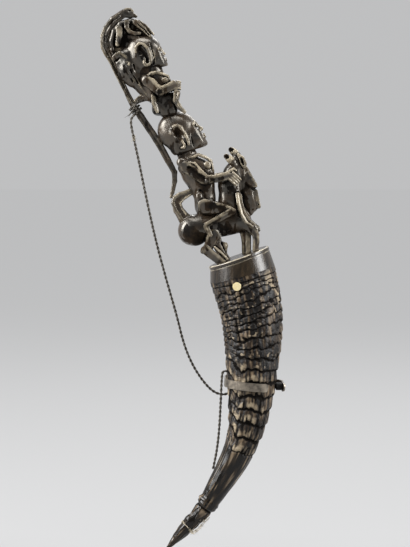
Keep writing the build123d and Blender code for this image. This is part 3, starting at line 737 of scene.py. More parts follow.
    # how pale each crest is (partly a painted highlight), how black each groove is (painted shade), how
    # polished toward the tip
    fibre = (0.42 + 0.06 * low + 0.62 * grain(on * (1, 1, 0.07), 1.0, 3)
             + 0.22 * grain(on * (1, 1, 0.3), 4.0, 2))
    crest = ringed * step_up(phase, 0.30 - 0.06 * low, 0.72 - 0.10 * low) * (1 - step_up(phase, 0.86, 0.95))
    crest = crest * (1 + 0.8 * (np.clip(fibre, 0, 1) - 0.55))
    # the crests are paler from the front round to the left, less toward the right
    side = np.interp(degrees, (0, 66, 100, 190, 250, 360), (0.28, 0.40, 1.0, 1.0, 0.5, 0.28))
    smooth_side = np.interp(degrees, (0, 130, 148, 240, 300, 360), (1.0, 1.0, 0.25, 0.2, 1.0, 1.0))
    side = side * (1 + (smooth_side - 1) * step_up(s, 84, 96))
    crest = crest * (0.62 + 0.06 * low + 0.6 * knob + 0.8 * rib) * side * (0.34 + 0.66 * low)
    # painted glints: pale flecks on the upper rings
    glint_flecks = step_up(grain(on * (1, 1, 0.7), 1.4, 0), 0.36, 0.72)
    crest += 0.8 * ringed * (1 - low) * glint_flecks * step_up(phase, 0.2, 0.5)
    # painted highlight: pale patches near the mouth on the right side
    crest += 1.0 * step_up(knob + 0.5 * grain(on, 9, 4), 0.0, 0.4) * (
        bulge(s, angle, 9, 28, 9, 11, 1) + bulge(s, angle, 22, 22, 9, 9, 0.7)
    )
    # painted shade: black in the grooves, the chips, the crease and the ring at the tip
    groove = ringed * np.maximum(step_up(phase, 0.86, 0.94), 1 - step_up(phase, 0.02, 0.16 + 0.08 * low))
    chipped = step_up(chips, 0.2 + 0.2 * low, 0.75 + 0.2 * low)
    groove = np.maximum(groove, ringed * (0.75 - 0.35 * low) * chipped)
    groove = np.maximum(groove, 0.8 * split)
    groove = np.maximum(groove, step_up(s, 172.4, 173.4) * (1 - step_up(s, 173.8, 175.0)))
    polish = smooth * step_up(s, 122, 128)
    fibre = np.clip(fibre + 0.35 * rooted * leaf * tip + bulge(s, angle, nub_at, 165, 2, 2.6, 0.8), 0, 1)
    # painted shade in the grooves, and the dark fibres of the lower rings, take the near-black dull look
    black_shade_and_fibre_weight = np.maximum(groove, 0.9 * low * (1 - step_up(fibre, 0.12, 0.36)) * (1 - polish))

    def everywhere(outside, within=0.0):
        """Values of the outside's points, then one for all the inside's."""
        return np.concatenate([np.clip(outside, 0, 1).ravel(), np.full(m * columns, within)])

    values = {"crest": everywhere(crest), "groove": everywhere(groove), "polish": everywhere(polish),
              "fibre": everywhere(fibre, 0.45)}
    new_object("horn_surface", points, faces, "horn", horn_material, ["horn_shell"], values,
               (black_shade_and_fibre, everywhere(black_shade_and_fibre_weight)))


horn_skin()


# ---- Carved figures ----


def face(head, brow, tilt, size, wide):
    """A calm, plain face: brow at this (x, z), turned up by tilt degrees, size from brow to chin."""
    c, s = cos(radians(tilt)), sin(radians(tilt))

    def at(down, side, out):
        a, o = down * size, out * size
        return (brow[0] + a * s + o * c, side * wide, brow[1] - a * c + o * s)

    def lump(down, side, out, half, power, blend):
        sizes = (half[0] * size, half[1] * wide, half[2] * size)
        head.block(at(down, side, out), sizes, tilt, power, blend)

    def line(*stations, r, blend, carve=False):
        head.rods(*[(*at(*p), r * size) for p in stations], blend=blend * size, carve=carve)

    # all in shares of the face: its plate, mouth and chin
    lump(0.42, 0, -0.26, (0.27, 0.98, 0.66), 3.0, 1.6)
    lump(0.70, 0, -0.05, (0.10, 0.50, 0.20), 2.2, 1.2)
    lump(0.92, 0, -0.09, (0.12, 0.42, 0.15), 2.2, 1.4)
    # hollow of the eye, brow, eyeball and lids
    line((0.15, 0.30, 0.05), (0.16, 0.66, 0.01), r=0.085, blend=0.10, carve=True)
    line((-0.02, 0.0, -0.01), (0.01, 0.40, 0.00), (0.08, 0.92, -0.06), r=0.045, blend=0.08)
    lump(0.165, 0.47, -0.045, (0.062, 0.24, 0.062), 2.0, 0.15)
    line((0.155, 0.22, 0.02), (0.105, 0.46, 0.03), (0.165, 0.74, 0.0), r=0.018, blend=0.02)
    line((0.175, 0.22, 0.02), (0.225, 0.46, 0.02), (0.165, 0.74, 0.0), r=0.016, blend=0.02)
    # nose with its wings and the hollow under them
    line((0.05, 0.0, 0.0), (0.40, 0.0, 0.115), r=0.05, blend=0.08)
    line((0.40, 0.0, 0.10), (0.42, 0.0, 0.09), r=0.062, blend=0.04)
    line((0.43, 0.20, 0.035), (0.44, 0.22, 0.03), r=0.045, blend=0.04)
    line((0.475, 0.11, 0.10), (0.47, 0.13, 0.05), r=0.022, blend=0.015, carve=True)
    # lips, the line between them and the one over the chin
    line((0.635, 0.0, 0.075), (0.64, 0.14, 0.07), (0.68, 0.42, 0.02), r=0.034, blend=0.06)
    line((0.745, 0.0, 0.065), (0.745, 0.16, 0.055), (0.71, 0.38, 0.02), r=0.036, blend=0.06)
    line((0.692, 0.0, 0.12), (0.695, 0.44, 0.045), r=0.013, blend=0.015, carve=True)
    line((0.84, 0.0, 0.09), (0.84, 0.20, 0.08), r=0.03, blend=0.05, carve=True)


def squatting_figure():
    c = Clay((-88, -14, 188), (-28, 14, 254))
    # back, chest and the hollow of the belly
    c.rods((-59, 0, 226, 6.2), (-57.2, 0, 214, 6), (-54.6, 0, 206.4, 5.4))
    c.rods((-56, 0, 228, 5.6), (-54, 0, 220, 6.4))
    c.block((-51, 0, 215.6), (7.4, 7, 6.8), -14, 3.0, 1.2)
    c.ridge((-60, 6.6, 219.8), (-56.8, 6.9, 222), (-53.3, 6.7, 222.9), (-48.8, 5.8, 221.9),
            (-45.4, 4.6, 220.2), (-43.4, 3, 216.6), r=1.05, blend=0.5)
    c.block((-47.2, 6.6, 217.2), (2.2, 1.3, 2.5), 10, 2.4, 0.25)
    c.groove((-52.4, 7.2, 219.8), (-49.8, 7.6, 216.4), (-46.8, 7.4, 213.6), r=0.6, blend=0.4)
    # the lap block that stands on the rider's head, its side cut with upright strokes
    c.block((-45.4, 0, 200.9), (6.7, 8.3, 8.6), 4, 4.0, 0.5)
    for k in range(6):
        c.groove((-49.6 + 1.75 * k, 8.7, 206.6 + 0.25 * k), (-49.2 + 1.75 * k, 8.7, 195), r=0.42, blend=0.25)
    c.block((-51.6, 0, 200.6), (4.4, 8, 7.4), -8, 2.6, 0.8)
    c.plank((-55, 7, 206.6, 1.5, 1.6), (-54.4, 7.6, 201.2, 1.6, 1.6), (-52.6, 7, 195.8, 1.1, 1.4), slope=-0.3,
            edge=0.5, blend=0.7)
    # shin and foot
    c.plank((-38.9, 7.6, 208.6, 2.3, 2.5), (-39.4, 7.8, 203.4, 1.7, 2.3), (-36.9, 7.4, 198.6, 1.6, 2),
            (-33.6, 7.2, 195.6, 1.2, 1.7), slope=0.3)
    c.ridge((-37.3, 9.9, 210), (-38.9, 10, 204), (-37.2, 9.3, 200), (-34.2, 8.6, 197.4))
    # arm: round shoulder, flat upper arm, forearm and hand on the knee
    c.block((-60, 7.4, 217.8), (3.6, 3.3, 3.1), -30, 2.5, 0.6)
    c.plank((-59, 8, 216.4, 3.5, 2.5), (-50.4, 9.4, 209.4, 2.8, 2.3), slope=0.28, blend=0.6)
    c.plank((-50.4, 9.4, 209.6, 2.7, 2.3), (-40.2, 8.8, 213.9, 3, 2.2), slope=0.28, blend=0.35)
    c.ridge((-58.2, 10.2, 219.4), (-54.9, 11.2, 217.8), (-49.7, 12, 212.4), r=0.7)
    c.ridge((-49.7, 12, 212.4), (-45.4, 11.6, 214.4), (-41, 11.2, 217.2), r=0.7)
    c.groove((-60.6, 9.6, 213.2), (-55.1, 11, 209.9), (-49.8, 11.8, 206))
    c.groove((-49.6, 11.8, 206), (-44, 11.2, 208.6), (-37.6, 10.6, 209.8), r=0.8)
    for z, drop in ((216.7, 0.2), (215.0, 0.1), (213.3, 0.0), (211.8, -0.1)):
        c.rods((-40.8, 10, z, 0.95), (-37.7, 9.4, z - drop, 0.85), (-36.6, 7.6, z - drop - 0.4, 0.75),
               blend=0.25)
    # head: drum, straight jaw, face
    h = Clay((-84, -13, 219), (-42, 13, 252))
    h.block((-61.8, 0, 236.6), (12.6, 9.4, 12.2), 0, 2.15)
    h.block((-58, 0, 231.4), (9.2, 7.8, 6.8), 14, 2.8, 2.0)
    face(h, (-51.0, 240.4), 24.6, 13.4, 6.6)
    h.slice((-53.6, 226.3), (0.17, -0.985), 0.4)
    h.groove((-58.4, 7.9, 245.6), (-56.4, 7.9, 241), (-55, 7.6, 235), (-54.6, 7.2, 230.4), (-55.2, 7, 226.6))
    h.groove((-65.2, 9.6, 240.4), (-63.4, 9.6, 238.2), (-60.4, 9.4, 234.8), (-59.4, 8.8, 230.6), r=1.5,
             blend=0.4)
    h.ridge((-67.2, 8.9, 236.8), (-67.4, 9, 240.2), (-65, 9.2, 242.9), (-61.9, 9.3, 242.4), (-59, 9.2, 239.8),
            (-57.3, 8.9, 235.4), (-56.8, 8.3, 231.2), (-57.9, 8, 228.4), (-59.9, 8.1, 227.8),
            (-61.2, 8.5, 229.6), (-61, 8.8, 232.6), r=0.9)
    h.block((-64.9, 9.2, 239.2), (1.3, 1.4, 1.7), 0, 2.0, 0.3, carve=True)
    h.block((-64.2, 9.4, 235.8), (1.6, 1.2, 1.2), 0, 2.0, 0.3, carve=True)
    c.join(h, 0.4)
    # hair gathered behind, and the strut to the tail rod
    c.rods((-73.4, 0, 234.2, 6.8), (-71.4, 0, 225.6, 7.4), (-67.6, 0, 218.8, 6), (-62.4, 0, 211.4, 4.2),
           (-59, 0, 206.2, 2.8), blend=1.4)
    c.rods((-78, 0, 229.6, 4.4), (-75.4, 0, 221.6, 4.6), (-71, 0, 216, 3), blend=1.4)
    c.rods((-64, 0, 224.6, 6.2), (-61.6, 0, 215, 5.2), blend=1.4)
    c.ridge((-68.4, 5.8, 220.4), (-63.4, 4.7, 212.6), (-58.3, 2.8, 205.6), r=0.75)
    for x, z, r in ((-80.2, 229.0, 0.5), (-76.8, 230.6, 0.6), (-73.0, 229.6, 0.5), (-69.0, 228.2, 0.6)):
        c.groove((x, 6.4, z), (x + 2.6, 7, z - 7.0), (x + 7.4, 5.2, z - 14.0), r=r, blend=0.5)
    c.rods((-59.8, 0, 205.8, 2.7), (-64.6, 0, 204.4, 2.3), (-69.6, 0, 201.4, 1.7), blend=0.8)
    c.ridge((-60.8, 2, 208.6), (-64.4, 1.8, 206.8), (-69, 1.4, 203.2), r=0.55, blend=0.25)
    return c


def crouching_animal():
    c = Clay((-90, -9, 228), (-50, 9, 264))
    c.rods((-66.2, 0, 257.4, 2.3), (-71.6, 0, 258.1, 2.3), (-77.6, 0, 256.6, 2.4), (-82.2, 0, 251.6, 2.3),
           (-84.2, 0, 244.8, 2.2), (-83.8, 0, 238.4, 2), (-82.4, 0, 233.4, 1.8), blend=0.6, flat=1.45)
    c.block((-74.6, 0, 247.2), (8.2, 1.8, 8.8), 0, 3.0, 0.6)
    c.block((-66.6, 0, 252), (5.6, 1.8, 6.2), 0, 3.0, 0.6)
    c.block((-80, 0, 238.6), (3.6, 1.3, 6.4), 0, 3.0, 0.6)
    c.groove((-71, 3.4, 255.4), (-76.6, 3.6, 254), (-80.4, 3.5, 250), (-81.9, 3.3, 244.4),
             (-81.4, 3.1, 238.8), r=0.6)
    # hind leg, and the foot on the nape
    c.plank((-78.6, 3, 253.2, 2.2, 1.5), (-78.8, 3.5, 248.2, 2, 1.4), (-80.2, 3.2, 242.2, 1.4, 1.2),
            slope=-0.2, edge=0.5)
    c.plank((-82.8, 3.2, 232.2, 1.5, 1.9), (-80.6, 4.2, 234.4, 1.8, 2), (-78.2, 4.8, 235.6, 1.7, 2),
            (-74.4, 5.2, 233, 1.6, 1.8), slope=0.3)
    c.ridge((-83.6, 5, 233.6), (-81, 6.2, 236), (-78.2, 6.9, 237.2), (-74, 6.9, 234.4), r=0.6)
    # forelegs: one curled in, one reaching over the brow with two fingers
    c.plank((-73.6, 3, 257.6, 1.8, 1.9), (-73.7, 3.8, 254, 1.3, 1.7), (-71.4, 4.2, 251, 1.15, 1.6),
            (-67.8, 4.2, 249.9, 1.1, 1.6), (-64.2, 4, 250, 0.9, 1.4), edge=0.3, blend=0.3)
    c.block((-68.4, 2.4, 247.2), (5, 2.6, 2), -4, 2.4, 0.4)
    c.plank((-67.4, 2.8, 257.6, 2.1, 2), (-61.8, 3.6, 253, 1.4, 1.7), (-57.2, 3.8, 247.8, 0.9, 1.3), edge=0.3,
            blend=0.35)
    c.plank((-65, 1.2, 258, 1.4, 1.9), (-60.6, 1.8, 255.2, 1.1, 1.6), (-55.2, 2, 249.2, 0.75, 1.2), edge=0.3,
            blend=0.25)
    c.block((-61.8, 0, 251.6), (5.6, 1.6, 3.8), -42, 2.6, 0.5)
    c.groove((-66, 4.6, 256.4), (-61.2, 5, 252.6), (-57.8, 4.8, 248.6), r=0.45, blend=0.2)
    return c


def crest_lizard():
    c = Clay((-95, -6, 132), (-37, 6, 271))
    c.plank((-76.6, 0, 263.2, 2.9, 2.3), (-82.4, 0, 259, 2.9, 2.3), (-86.9, 0, 253.6, 2.8, 2.3),
            (-89.2, 0, 247.8, 2.6, 2.2), (-89.5, 0, 242.2, 2.4, 2.1), (-87.6, 0, 236.4, 2, 2),
            (-83.9, 0, 229.8, 1.8, 2), (-75.6, 0, 212.6, 1.8, 2), (-69, 0, 199.5, 2.1, 2.1), edge=0.7)
    c.plank((-69, 0, 199.5, 2.1, 2.1), (-64, 0, 192.6, 2.4, 2.1), (-52.9, 0, 176.4, 2.5, 2.1),
            (-45.2, 0, 162.4, 2.2, 2), (-40.6, 0, 153.8, 1.9, 1.9), (-40.4, 0, 147.4, 1.7, 1.8),
            (-42, 0, 139.4, 1.3, 1.6), (-42.9, 0, 136.4, 1, 1.3), edge=0.7)
    c.block((-81.4, 0, 253.4), (4.4, 1.3, 5.4), 40, 2.6, 0.6)
    c.block((-86, 0, 243.2), (2.8, 1.3, 8), 0, 2.6, 0.6)
    back = [(-76.0, 265.9), (-80.6, 262.6), (-85.2, 259.0), (-89.4, 254.2), (-91.5, 249.0), (-91.7, 244.8),
            (-91.3, 240.7), (-88.8, 235.6), (-84.8, 228.6), (-76.9, 212.2), (-71.6, 202.4)]
    c.ridge(*[(x + 0.4, 2.0, z - 0.2) for x, z in back], r=0.85, blend=0.25)
    c.groove((-78.6, 2.9, 262.4), (-83.4, 2.9, 258.4), (-87.6, 2.9, 252.9), (-89.6, 2.8, 247.2),
             (-89.6, 2.7, 241.8), (-87.6, 2.6, 236.2), (-83.6, 2.6, 229.2), (-75.4, 2.6, 212.4), r=1.1)
    # a small wedge of a head with a brow ridge on each side
    c.block((-72.8, 0, 263.6), (4.6, 2.7, 2.9), -14, 2.8, 0.6)
    c.rods((-70.4, 0, 263.6, 2.2), (-67.4, 0, 262, 1.3), blend=0.8)
    c.ridge((-76, 1.4, 266), (-73.6, 1.9, 266.9), (-70.8, 2, 267), (-69.2, 1.7, 265.4), r=0.75)
    c.ridge((-71.8, 2.4, 264.6), (-69.2, 2, 263.9), (-66.6, 1, 262))
    c.groove((-74.8, 3.2, 263.6), (-71.6, 3.2, 261.8), (-67, 1.8, 260.2), r=0.4)
    # the rod: two edges with a hollow between
    c.groove((-67.4, 2.7, 197.2), (-61.6, 2.7, 189.2), (-52.9, 2.7, 176.4), (-45.6, 2.6, 163.2), r=0.8)
    c.groove((-40.6, 2.4, 151.6), (-40.8, 2.3, 146), (-42.2, 2, 139))
    return c


def rider():
    c = Clay((-56, -15, 107), (10, 15, 201))
    # neck, chest, waist and hips
    c.rods((-33.6, 0, 170, 6.4), (-30, 0, 162, 7.2))
    c.block((-26.4, 0, 156.6), (11.6, 8.4, 8.6), -26, 3.0, 1.6)
    c.rods((-27.6, 0, 152.6, 8.2), (-21.2, 0, 143.4, 8.2), (-19.4, 0, 137, 7), (-19, 0, 131, 7.4), flat=0.92)
    c.block((-16.6, 0, 148.4), (4.2, 6.6, 9.8), 0, 2.8, 1.2)
    c.ridge((-31, 7.2, 163.6), (-26.8, 7.6, 164.8), (-24, 7.4, 166), (-19.3, 6.6, 164.4), (-15.3, 5.4, 162),
            (-13.4, 4.2, 154.4), r=0.95, blend=0.45)
    c.block((-17.4, 6.9, 159), (2.5, 1.4, 2.9), 12, 2.4, 0.25)
    c.groove((-24.6, 8.6, 162.6), (-20.6, 8.8, 158.4), (-16, 8, 153.6), r=0.8, blend=0.5)
    c.groove((-22.6, 7.6, 140.6), (-20.8, 7.8, 136.4), r=1.1, blend=0.8)
    # arm: round shoulder, flat upper arm hollowed outside, forearm, hand on the horse's neck
    c.block((-34.2, 7.9, 160.4), (4.9, 3.9, 3.5), -18, 2.5, 0.7)
    c.plank((-32.6, 9, 157.4, 3.9, 2.7), (-19.4, 10.4, 148.6, 3.5, 2.4), slope=0.34, edge=0.4, blend=0.6)
    c.plank((-19.4, 10.4, 148.5, 3.3, 2.4), (-11.6, 10.2, 149.4, 2.6, 2.2), (-3.6, 9.4, 151.4, 2.5, 2),
            slope=0.3, edge=0.4, blend=0.4)
    c.ridge((-30.4, 11.6, 160.8), (-26.6, 12.2, 160.6), (-22.1, 12.9, 155.6), (-17.6, 13.2, 151.4), r=0.8)
    c.ridge((-17.6, 13.2, 151.4), (-12.6, 12.8, 151.7), (-5.3, 11.8, 153.4), (-0.8, 10.4, 155.8), r=0.8)
    c.plank((-30.4, 13.3, 155.9, 2.3, 2.1), (-20.8, 14.4, 149.4, 2.1, 2.1), slope=0.3, edge=0.5, blend=0.6,
            carve=True)
    c.groove((-32.2, 9.6, 152.8), (-25.8, 10.6, 149), (-20, 11.2, 144.6), (-12.8, 10.8, 145.6),
             (-5.2, 10.4, 147.4), r=0.8)
    c.block((-2, 8.8, 152.4), (3.4, 2.2, 2.9), -30, 2.4, 0.4)
    c.rods((-1.8, 10.4, 155.2, 1), (0.6, 9.8, 156.4, 0.95), (2.2, 8.8, 155.2, 0.8), blend=0.25)
    for k, (x, z) in enumerate([(0.0, 154.0), (-1.0, 152.6), (-2.0, 151.2), (-3.1, 149.9)]):
        c.rods((x, 10.7, z, 0.9), (x + 3.2, 9.9, z - 3.0, 0.85), (x + 5.6, 8.2, z - 5.2, 0.75), blend=0.2)
    # legs along the flanks
    c.block((-23, 7.6, 135.2), (2.8, 3.6, 5.4), 8, 2.6, 0.8)
    c.plank((-19.4, 8.2, 130.2, 5, 3.6), (-10.4, 9.4, 129, 4, 3), (-1.6, 10.2, 127.6, 2.6, 2.5), slope=0.34,
            edge=0.4, blend=0.6)
    c.plank((-0.6, 10.6, 126.9, 2.5, 2.3), (-18, 11.2, 117.2, 1.9, 2), slope=0.36, blend=0.4)
    c.plank((-18.4, 11.1, 116.6, 1.8, 1.9), (-15.6, 10.8, 110.6, 1.5, 1.7), slope=-0.2, blend=0.4)
    c.ridge((-20.4, 12.4, 134.9), (-11.4, 13, 132.8), (-2, 12.7, 130), (0.8, 12.4, 128.2), r=0.7)
    c.ridge((-2.6, 12.8, 126.8), (-5.4, 13, 125.4), (-13.9, 13.2, 121.2), (-19.4, 12.8, 118.2),
            (-17.8, 12.6, 113.8), r=0.6)
    c.block((0.6, 11.6, 127.6), (1.6, 1.8, 1.4), -20, 2.0, 0.4)
    c.groove((-22.8, 11, 126.2), (-16, 12, 124.2), (-9, 12.4, 124.8), r=0.7)
    c.block((-18.6, 0, 128.4), (6.8, 8.8, 5.4), 0, 2.6, 1.6)
    # head
    h = Clay((-54, -13, 160), (-12, 13, 199))
    h.block((-38.6, 0, 182.8), (13.6, 10, 13.3), 0, 2.15)
    h.block((-33, 0, 174.8), (12, 8.6, 9), 17, 2.9, 2.2)
    face(h, (-27.0, 189.0), 32.2, 17.4, 7.3)
    h.slice((-30.0, 168.5), (0.286, -0.958), 0.4)
    h.groove((-34.2, 8.4, 193.4), (-31.4, 8.8, 190), (-29.2, 8.6, 184), (-28.6, 8.4, 178), (-27, 8, 171),
             r=0.55)
    h.block((-37.6, 10.4, 180.4), (4.8, 3, 3), -54, 2.4, 0.5, carve=True)
    h.groove((-39.6, 10.2, 179.6), (-38, 10, 174), (-36.4, 9.6, 169.8), r=1.5, blend=0.8)
    h.ridge((-43, 9.4, 180.4), (-42.4, 9.6, 183.6), (-40.6, 9.8, 185.9), (-38.4, 9.9, 186.4),
            (-36.2, 9.9, 185.4), (-34.8, 9.8, 182.4), (-33, 9.6, 180.2), (-31.2, 9.2, 176.6),
            (-30.6, 8.9, 173.4), r=0.95)
    h.ridge((-34.8, 9.4, 175.8), (-33.4, 9.3, 173.2), (-33.8, 9.2, 170.8), (-35.4, 9.3, 171), r=0.8)
    c.join(h, 0.4)
    return c


def horse():
    c = Clay((-46, -13, 85), (28, 13, 175))
    c.block((-27, 0, 113.4), (11, 9.8, 10.9), -20, 2.15)
    c.rods((-20, 0, 116, 9.8), (4.6, 0, 119.8, 8.4), flat=0.98)
    c.rods((3, 0, 121.6, 8.2), (-1.6, 0, 133.6, 8.2), (-2, 0, 144.4, 7.9), (0.6, 0, 153.4, 6.8),
           (2.8, 0, 159.6, 4.8), flat=0.84)
    # head: cheek, brow plate, nose and jaw
    c.rods((4.4, 0, 157.6, 4.4), (9, 0, 148.4, 5.2), (11.6, 0, 138, 5.2), (13.8, 0, 130.4, 4.4), blend=1.2,
           flat=0.88)
    c.rods((9.4, 0, 133, 4.4), (11.8, 0, 126.8, 3.2), blend=1.2, flat=0.9)
    c.plank((8.9, 0, 157, 1.5, 4), (10.6, 0, 151.6, 2.6, 5), (12.6, 0, 147.4, 3, 5.2),
            (14.6, 0, 144.9, 2.6, 5), blend=0.3)
    for k in range(3):
        c.groove((9.4 + 0.5 * k, 5.2, 155.6 - k), (11.0 + 1.3 * k, 5.5, 147.4), r=0.3, blend=0.2)
    c.groove((8.6, 5.4, 145.6), (12, 5.4, 142.2), (17.4, 3.4, 142.6), r=1.1, blend=0.4)
    c.plank((15.9, 0, 140.4, 1.6, 3.4), (17, 0, 134.8, 1.5, 3.2), (18.2, 0, 129.8, 1.5, 3), blend=0.3)
    c.groove((14.2, 4.4, 139.4), (16, 4.2, 130.6), r=0.6, blend=0.4)
    c.groove((15.6, 4.2, 127.9), (19.8, 0.5, 128.2), r=0.7)
    c.groove((17.4, 3.4, 132.2), (18.2, 2.8, 131))
    # ears: two tubes open at the end, and a leaf before them
    for x, y, z, dx, dz in ((0.2, -2.9, 160.6, -4.6, 4.4), (2.9, 2.8, 165.6, -4.2, 3.8)):
        c.rods((x + 1.2, y * 0.8, z - 2.2, 2.7), (x, y, z, 2.7), (x + 0.55 * dx, y * 1.1, z + 0.55 * dz, 2.5),
               (x + dx, y * 1.2, z + dz, 1.9), blend=0.5, both=False)
        c.rods((x + 0.45 * dx, y * 1.1 - 0.3, z + 0.45 * dz, 0.9),
               (x + 1.25 * dx, y * 1.2 - 2.0, z + 1.25 * dz, 2), blend=0.25, carve=True, both=False)
    c.plank((3.6, 2.6, 166.4, 0.9, 1.4), (6.3, 3.4, 163.4, 1.9, 1.6), (7.8, 3.6, 159.8, 2, 1.6),
            (8, 3.4, 157.8, 1.2, 1.3), edge=0.3, blend=0.3)
    c.block((6.5, 4.9, 161.6), (1, 1.3, 3.2), 20, 2.0, 0.2, carve=True)
    c.rods((1.6, 0, 163, 3), (4.8, 0, 162, 3.4), blend=0.8)
    # shoulder and breast, with the ribbon edge down to the knee
    c.rods((6.4, 3.6, 120, 5.4), (12, 4.6, 115.4, 3.9), blend=1.4)
    c.plank((4.6, 6, 138, 1.6, 1.8), (5, 6.6, 133, 1.6, 2), (7.4, 7, 125, 1.9, 2.2),
            (10.8, 7, 119.6, 2.2, 2.3), (17.2, 6.4, 114.4, 2, 2.2), blend=0.4)
    c.ridge((2.9, 7.2, 139), (3.4, 8.4, 133.2), (5.8, 9, 124.8), (9, 9.2, 119.4), (13.2, 8.8, 116.4),
            (18.2, 7.8, 113.9), r=1.15, blend=0.35)
    # legs
    c.plank((13.6, -6.2, 114.4, 3.2, 2.6), (16, -6.6, 110.6, 2.4, 2.4), (16.2, -6.8, 105.6, 2.2, 2.2),
            (15.4, -7, 95, 2, 2.2), slope=0.2, edge=0.4, both=False)
    c.plank((8.4, 6, 114.4, 4, 2.8), (9.4, 6.4, 106, 3, 2.5), (9.6, 6.6, 92, 2.9, 2.4), slope=-0.2, edge=0.4,
            blend=0.6, both=False)
    c.ridge((11.9, -4.6, 111), (11.7, -4.9, 97), both=False)
    c.plank((11, -4.2, 112, 2, 1.6), (10.8, -4.6, 96, 1.7, 1.6), edge=0.4, blend=0.4, both=False)
    c.plank((-13.4, -6.2, 110, 4.4, 3), (-17.2, -6.8, 101.4, 3.3, 2.7), slope=0.15, edge=0.5, blend=0.8,
            both=False)
    c.plank((-18.7, -6.8, 99.9, 3.3, 2.6), (-12, -6.8, 94.6, 3, 2.5), (-6.4, -6.8, 90, 2.9, 2.5), slope=0.42,
            edge=0.4, both=False)
    c.ridge((-12.6, -9.7, 102.2), (-9.4, -9.9, 99.2), (-3.6, -9.6, 93.6), r=0.75, both=False)
    c.block((-20.6, -8.9, 99.9), (1.9, 1.6, 2.6), -14, 2.4, 0.4, both=False)
    c.plank((-10.8, -4.8, 109.6, 2.7, 2.4), (-10.9, -5.6, 103.4, 2.2, 2.2), (-7.2, -6, 97, 1.8, 2), edge=0.4,
            both=False)
    c.plank((-12.9, 5.4, 109.4, 4.6, 3), (-9.6, 6.4, 100.4, 2.9, 2.6), (-3.2, 6.4, 91, 2.7, 2.5), slope=-0.2,
            edge=0.5, blend=0.8, both=False)
    # knob between the hind legs
    c.rods((-8.6, -1, 104.4, 1.6), (-6, -2.6, 102.6, 2.8), blend=0.5, both=False)
    c.rods((-6, -2.4, 101.4, 2.5), (-5.6, -2, 98.9, 1.7), (-5.2, -1.2, 92, 1), blend=0.4, both=False)
    c.groove((-8.4, -4.6, 100.6), (-5.4, -4.8, 99.8), (-3.4, -3.6, 100.4), r=0.55, blend=0.2, both=False)
    # tail curled up in a loop, its outer edge a broad ribbon
    c.plank((-27.4, 0, 117.2, 5.4, 5), (-33.8, 0, 121.6, 4.2, 4), (-38, 0, 127.4, 3.3, 3.3),
            (-39.6, 0, 132.9, 3, 2.9), (-36.4, 0, 137.2, 2.3, 2.5), (-29.4, 0, 139.6, 1.8, 2.2),
            (-26, 0, 139.4, 1.8, 2), edge=0.5, blend=0.6)
    c.ridge((-33.2, 4.4, 118.6), (-36.4, 3.9, 122.2), (-39.8, 3.1, 127.4), (-41.6, 2.6, 132.2),
            (-40.8, 2.3, 136), (-37, 2, 138.9), (-30.4, 1.8, 141), r=1.2, blend=0.35)
    c.ridge((-32.4, 4.4, 124.6), (-35.2, 3.4, 128.4), (-36.3, 2.9, 132), (-34.2, 2.4, 134.8),
            (-29.4, 2.2, 137.9), r=0.55, blend=0.25)
    c.slice(seat, (sin(radians(neck_top_tilt)), -cos(radians(neck_top_tilt))), 0.2)
    return c


# Where each figure is rubbed pale, and where shade is painted on it (blacker and duller): places and how far
# each reaches
pale_spots = {"horse": [((-5.9, -3.4, 102.2), 3.8)]}
shade_spots = {
    "rider": [((-27.6, 12.0, 154.6), 4.2), ((-22.8, 13.0, 151.0), 3.4), ((-39.4, 9.0, 181.0), 2.6),
              ((-37.4, 9.4, 176.0), 2.6), ((-42.6, 9.6, 183.4), 1.8), ((-34.8, 9.8, 182.0), 1.6),
              ((-15.0, 12.4, 130.6), 4.0), ((-7.4, 12.6, 129.6), 3.0), ((-19.6, 9.0, 143.0), 4.0)],
    "squatting_figure": [((-64.4, 8.6, 238.4), 3.0), ((-60.8, 9.2, 234.0), 2.6), ((-51.0, 10.2, 216.8), 3.2),
                         ((-46.0, 8.6, 199.0), 4.4), ((-72.0, 6.4, 226.0), 3.6)],
    "crouching_animal": [((-71.0, 2.0, 248.4), 3.6), ((-77.4, 2.0, 244.6), 4.0)],
    "horse": [((9.6, 4.6, 144.2), 2.6), ((0.0, 7.6, 142.0), 3.6), ((-4.6, 3.4, 165.0), 2.2),
              ((-1.4, 3.4, 169.6), 2.2), ((-31.0, 7.0, 112.0), 6.0), ((-24.0, 9.0, 106.0), 6.0),
              ((-6.0, 9.0, 117.0), 5.0)],
}
# how strongly thin ridges are paler, as wear and painted highlight, on these figures
wear_and_highlight_share = {"crest_lizard": 0.66, "crouching_animal": 0.72}
for form in (horse, rider, squatting_figure, crouching_animal, crest_lizard):
    name = form.__name__
    form().piece(name + "_carving", "carved_wood", "stopper", wood, [name], spots=pale_spots.get(name, ()),
                 dark=shade_spots.get(name, ()), second_look=shaded_wood, wear_and_highlight_scale=wear_and_highlight_share.get(name, 1.0))

# ---- Felt pad between the strap's arm and the horn ----

pad_low, pad_high = (np.array(corner) / MM - (0, middle, 0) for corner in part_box("strap_pad"))
pad_middle, pad_half = (pad_low + pad_high) / 2, (pad_high - pad_low) / 2
pad = Clay(pad_low - 1, pad_high + 1)
pad.block(pad_middle, tuple(pad_half * (1.02, 1.0, 0.98)), 0, 5.0, 0.4, both=False)
pad_piece = pad.piece("felt_pad", "felt", "horn", felt, ["strap_pad"], wobble=0.1)

# ---- Cords: strands twisted round a path ----


def even(path, step):
    """Points about a step apart along the path, and their distances along it."""
    s = np.concatenate([[0], np.cumsum(np.linalg.norm(np.diff(path, axis=0), axis=1))])
    at = np.linspace(0, s[-1], max(int(s[-1] / step), 2) + 1)
    return np.stack([np.interp(at, s, path[:, k]) for k in range(3)], axis=1), at


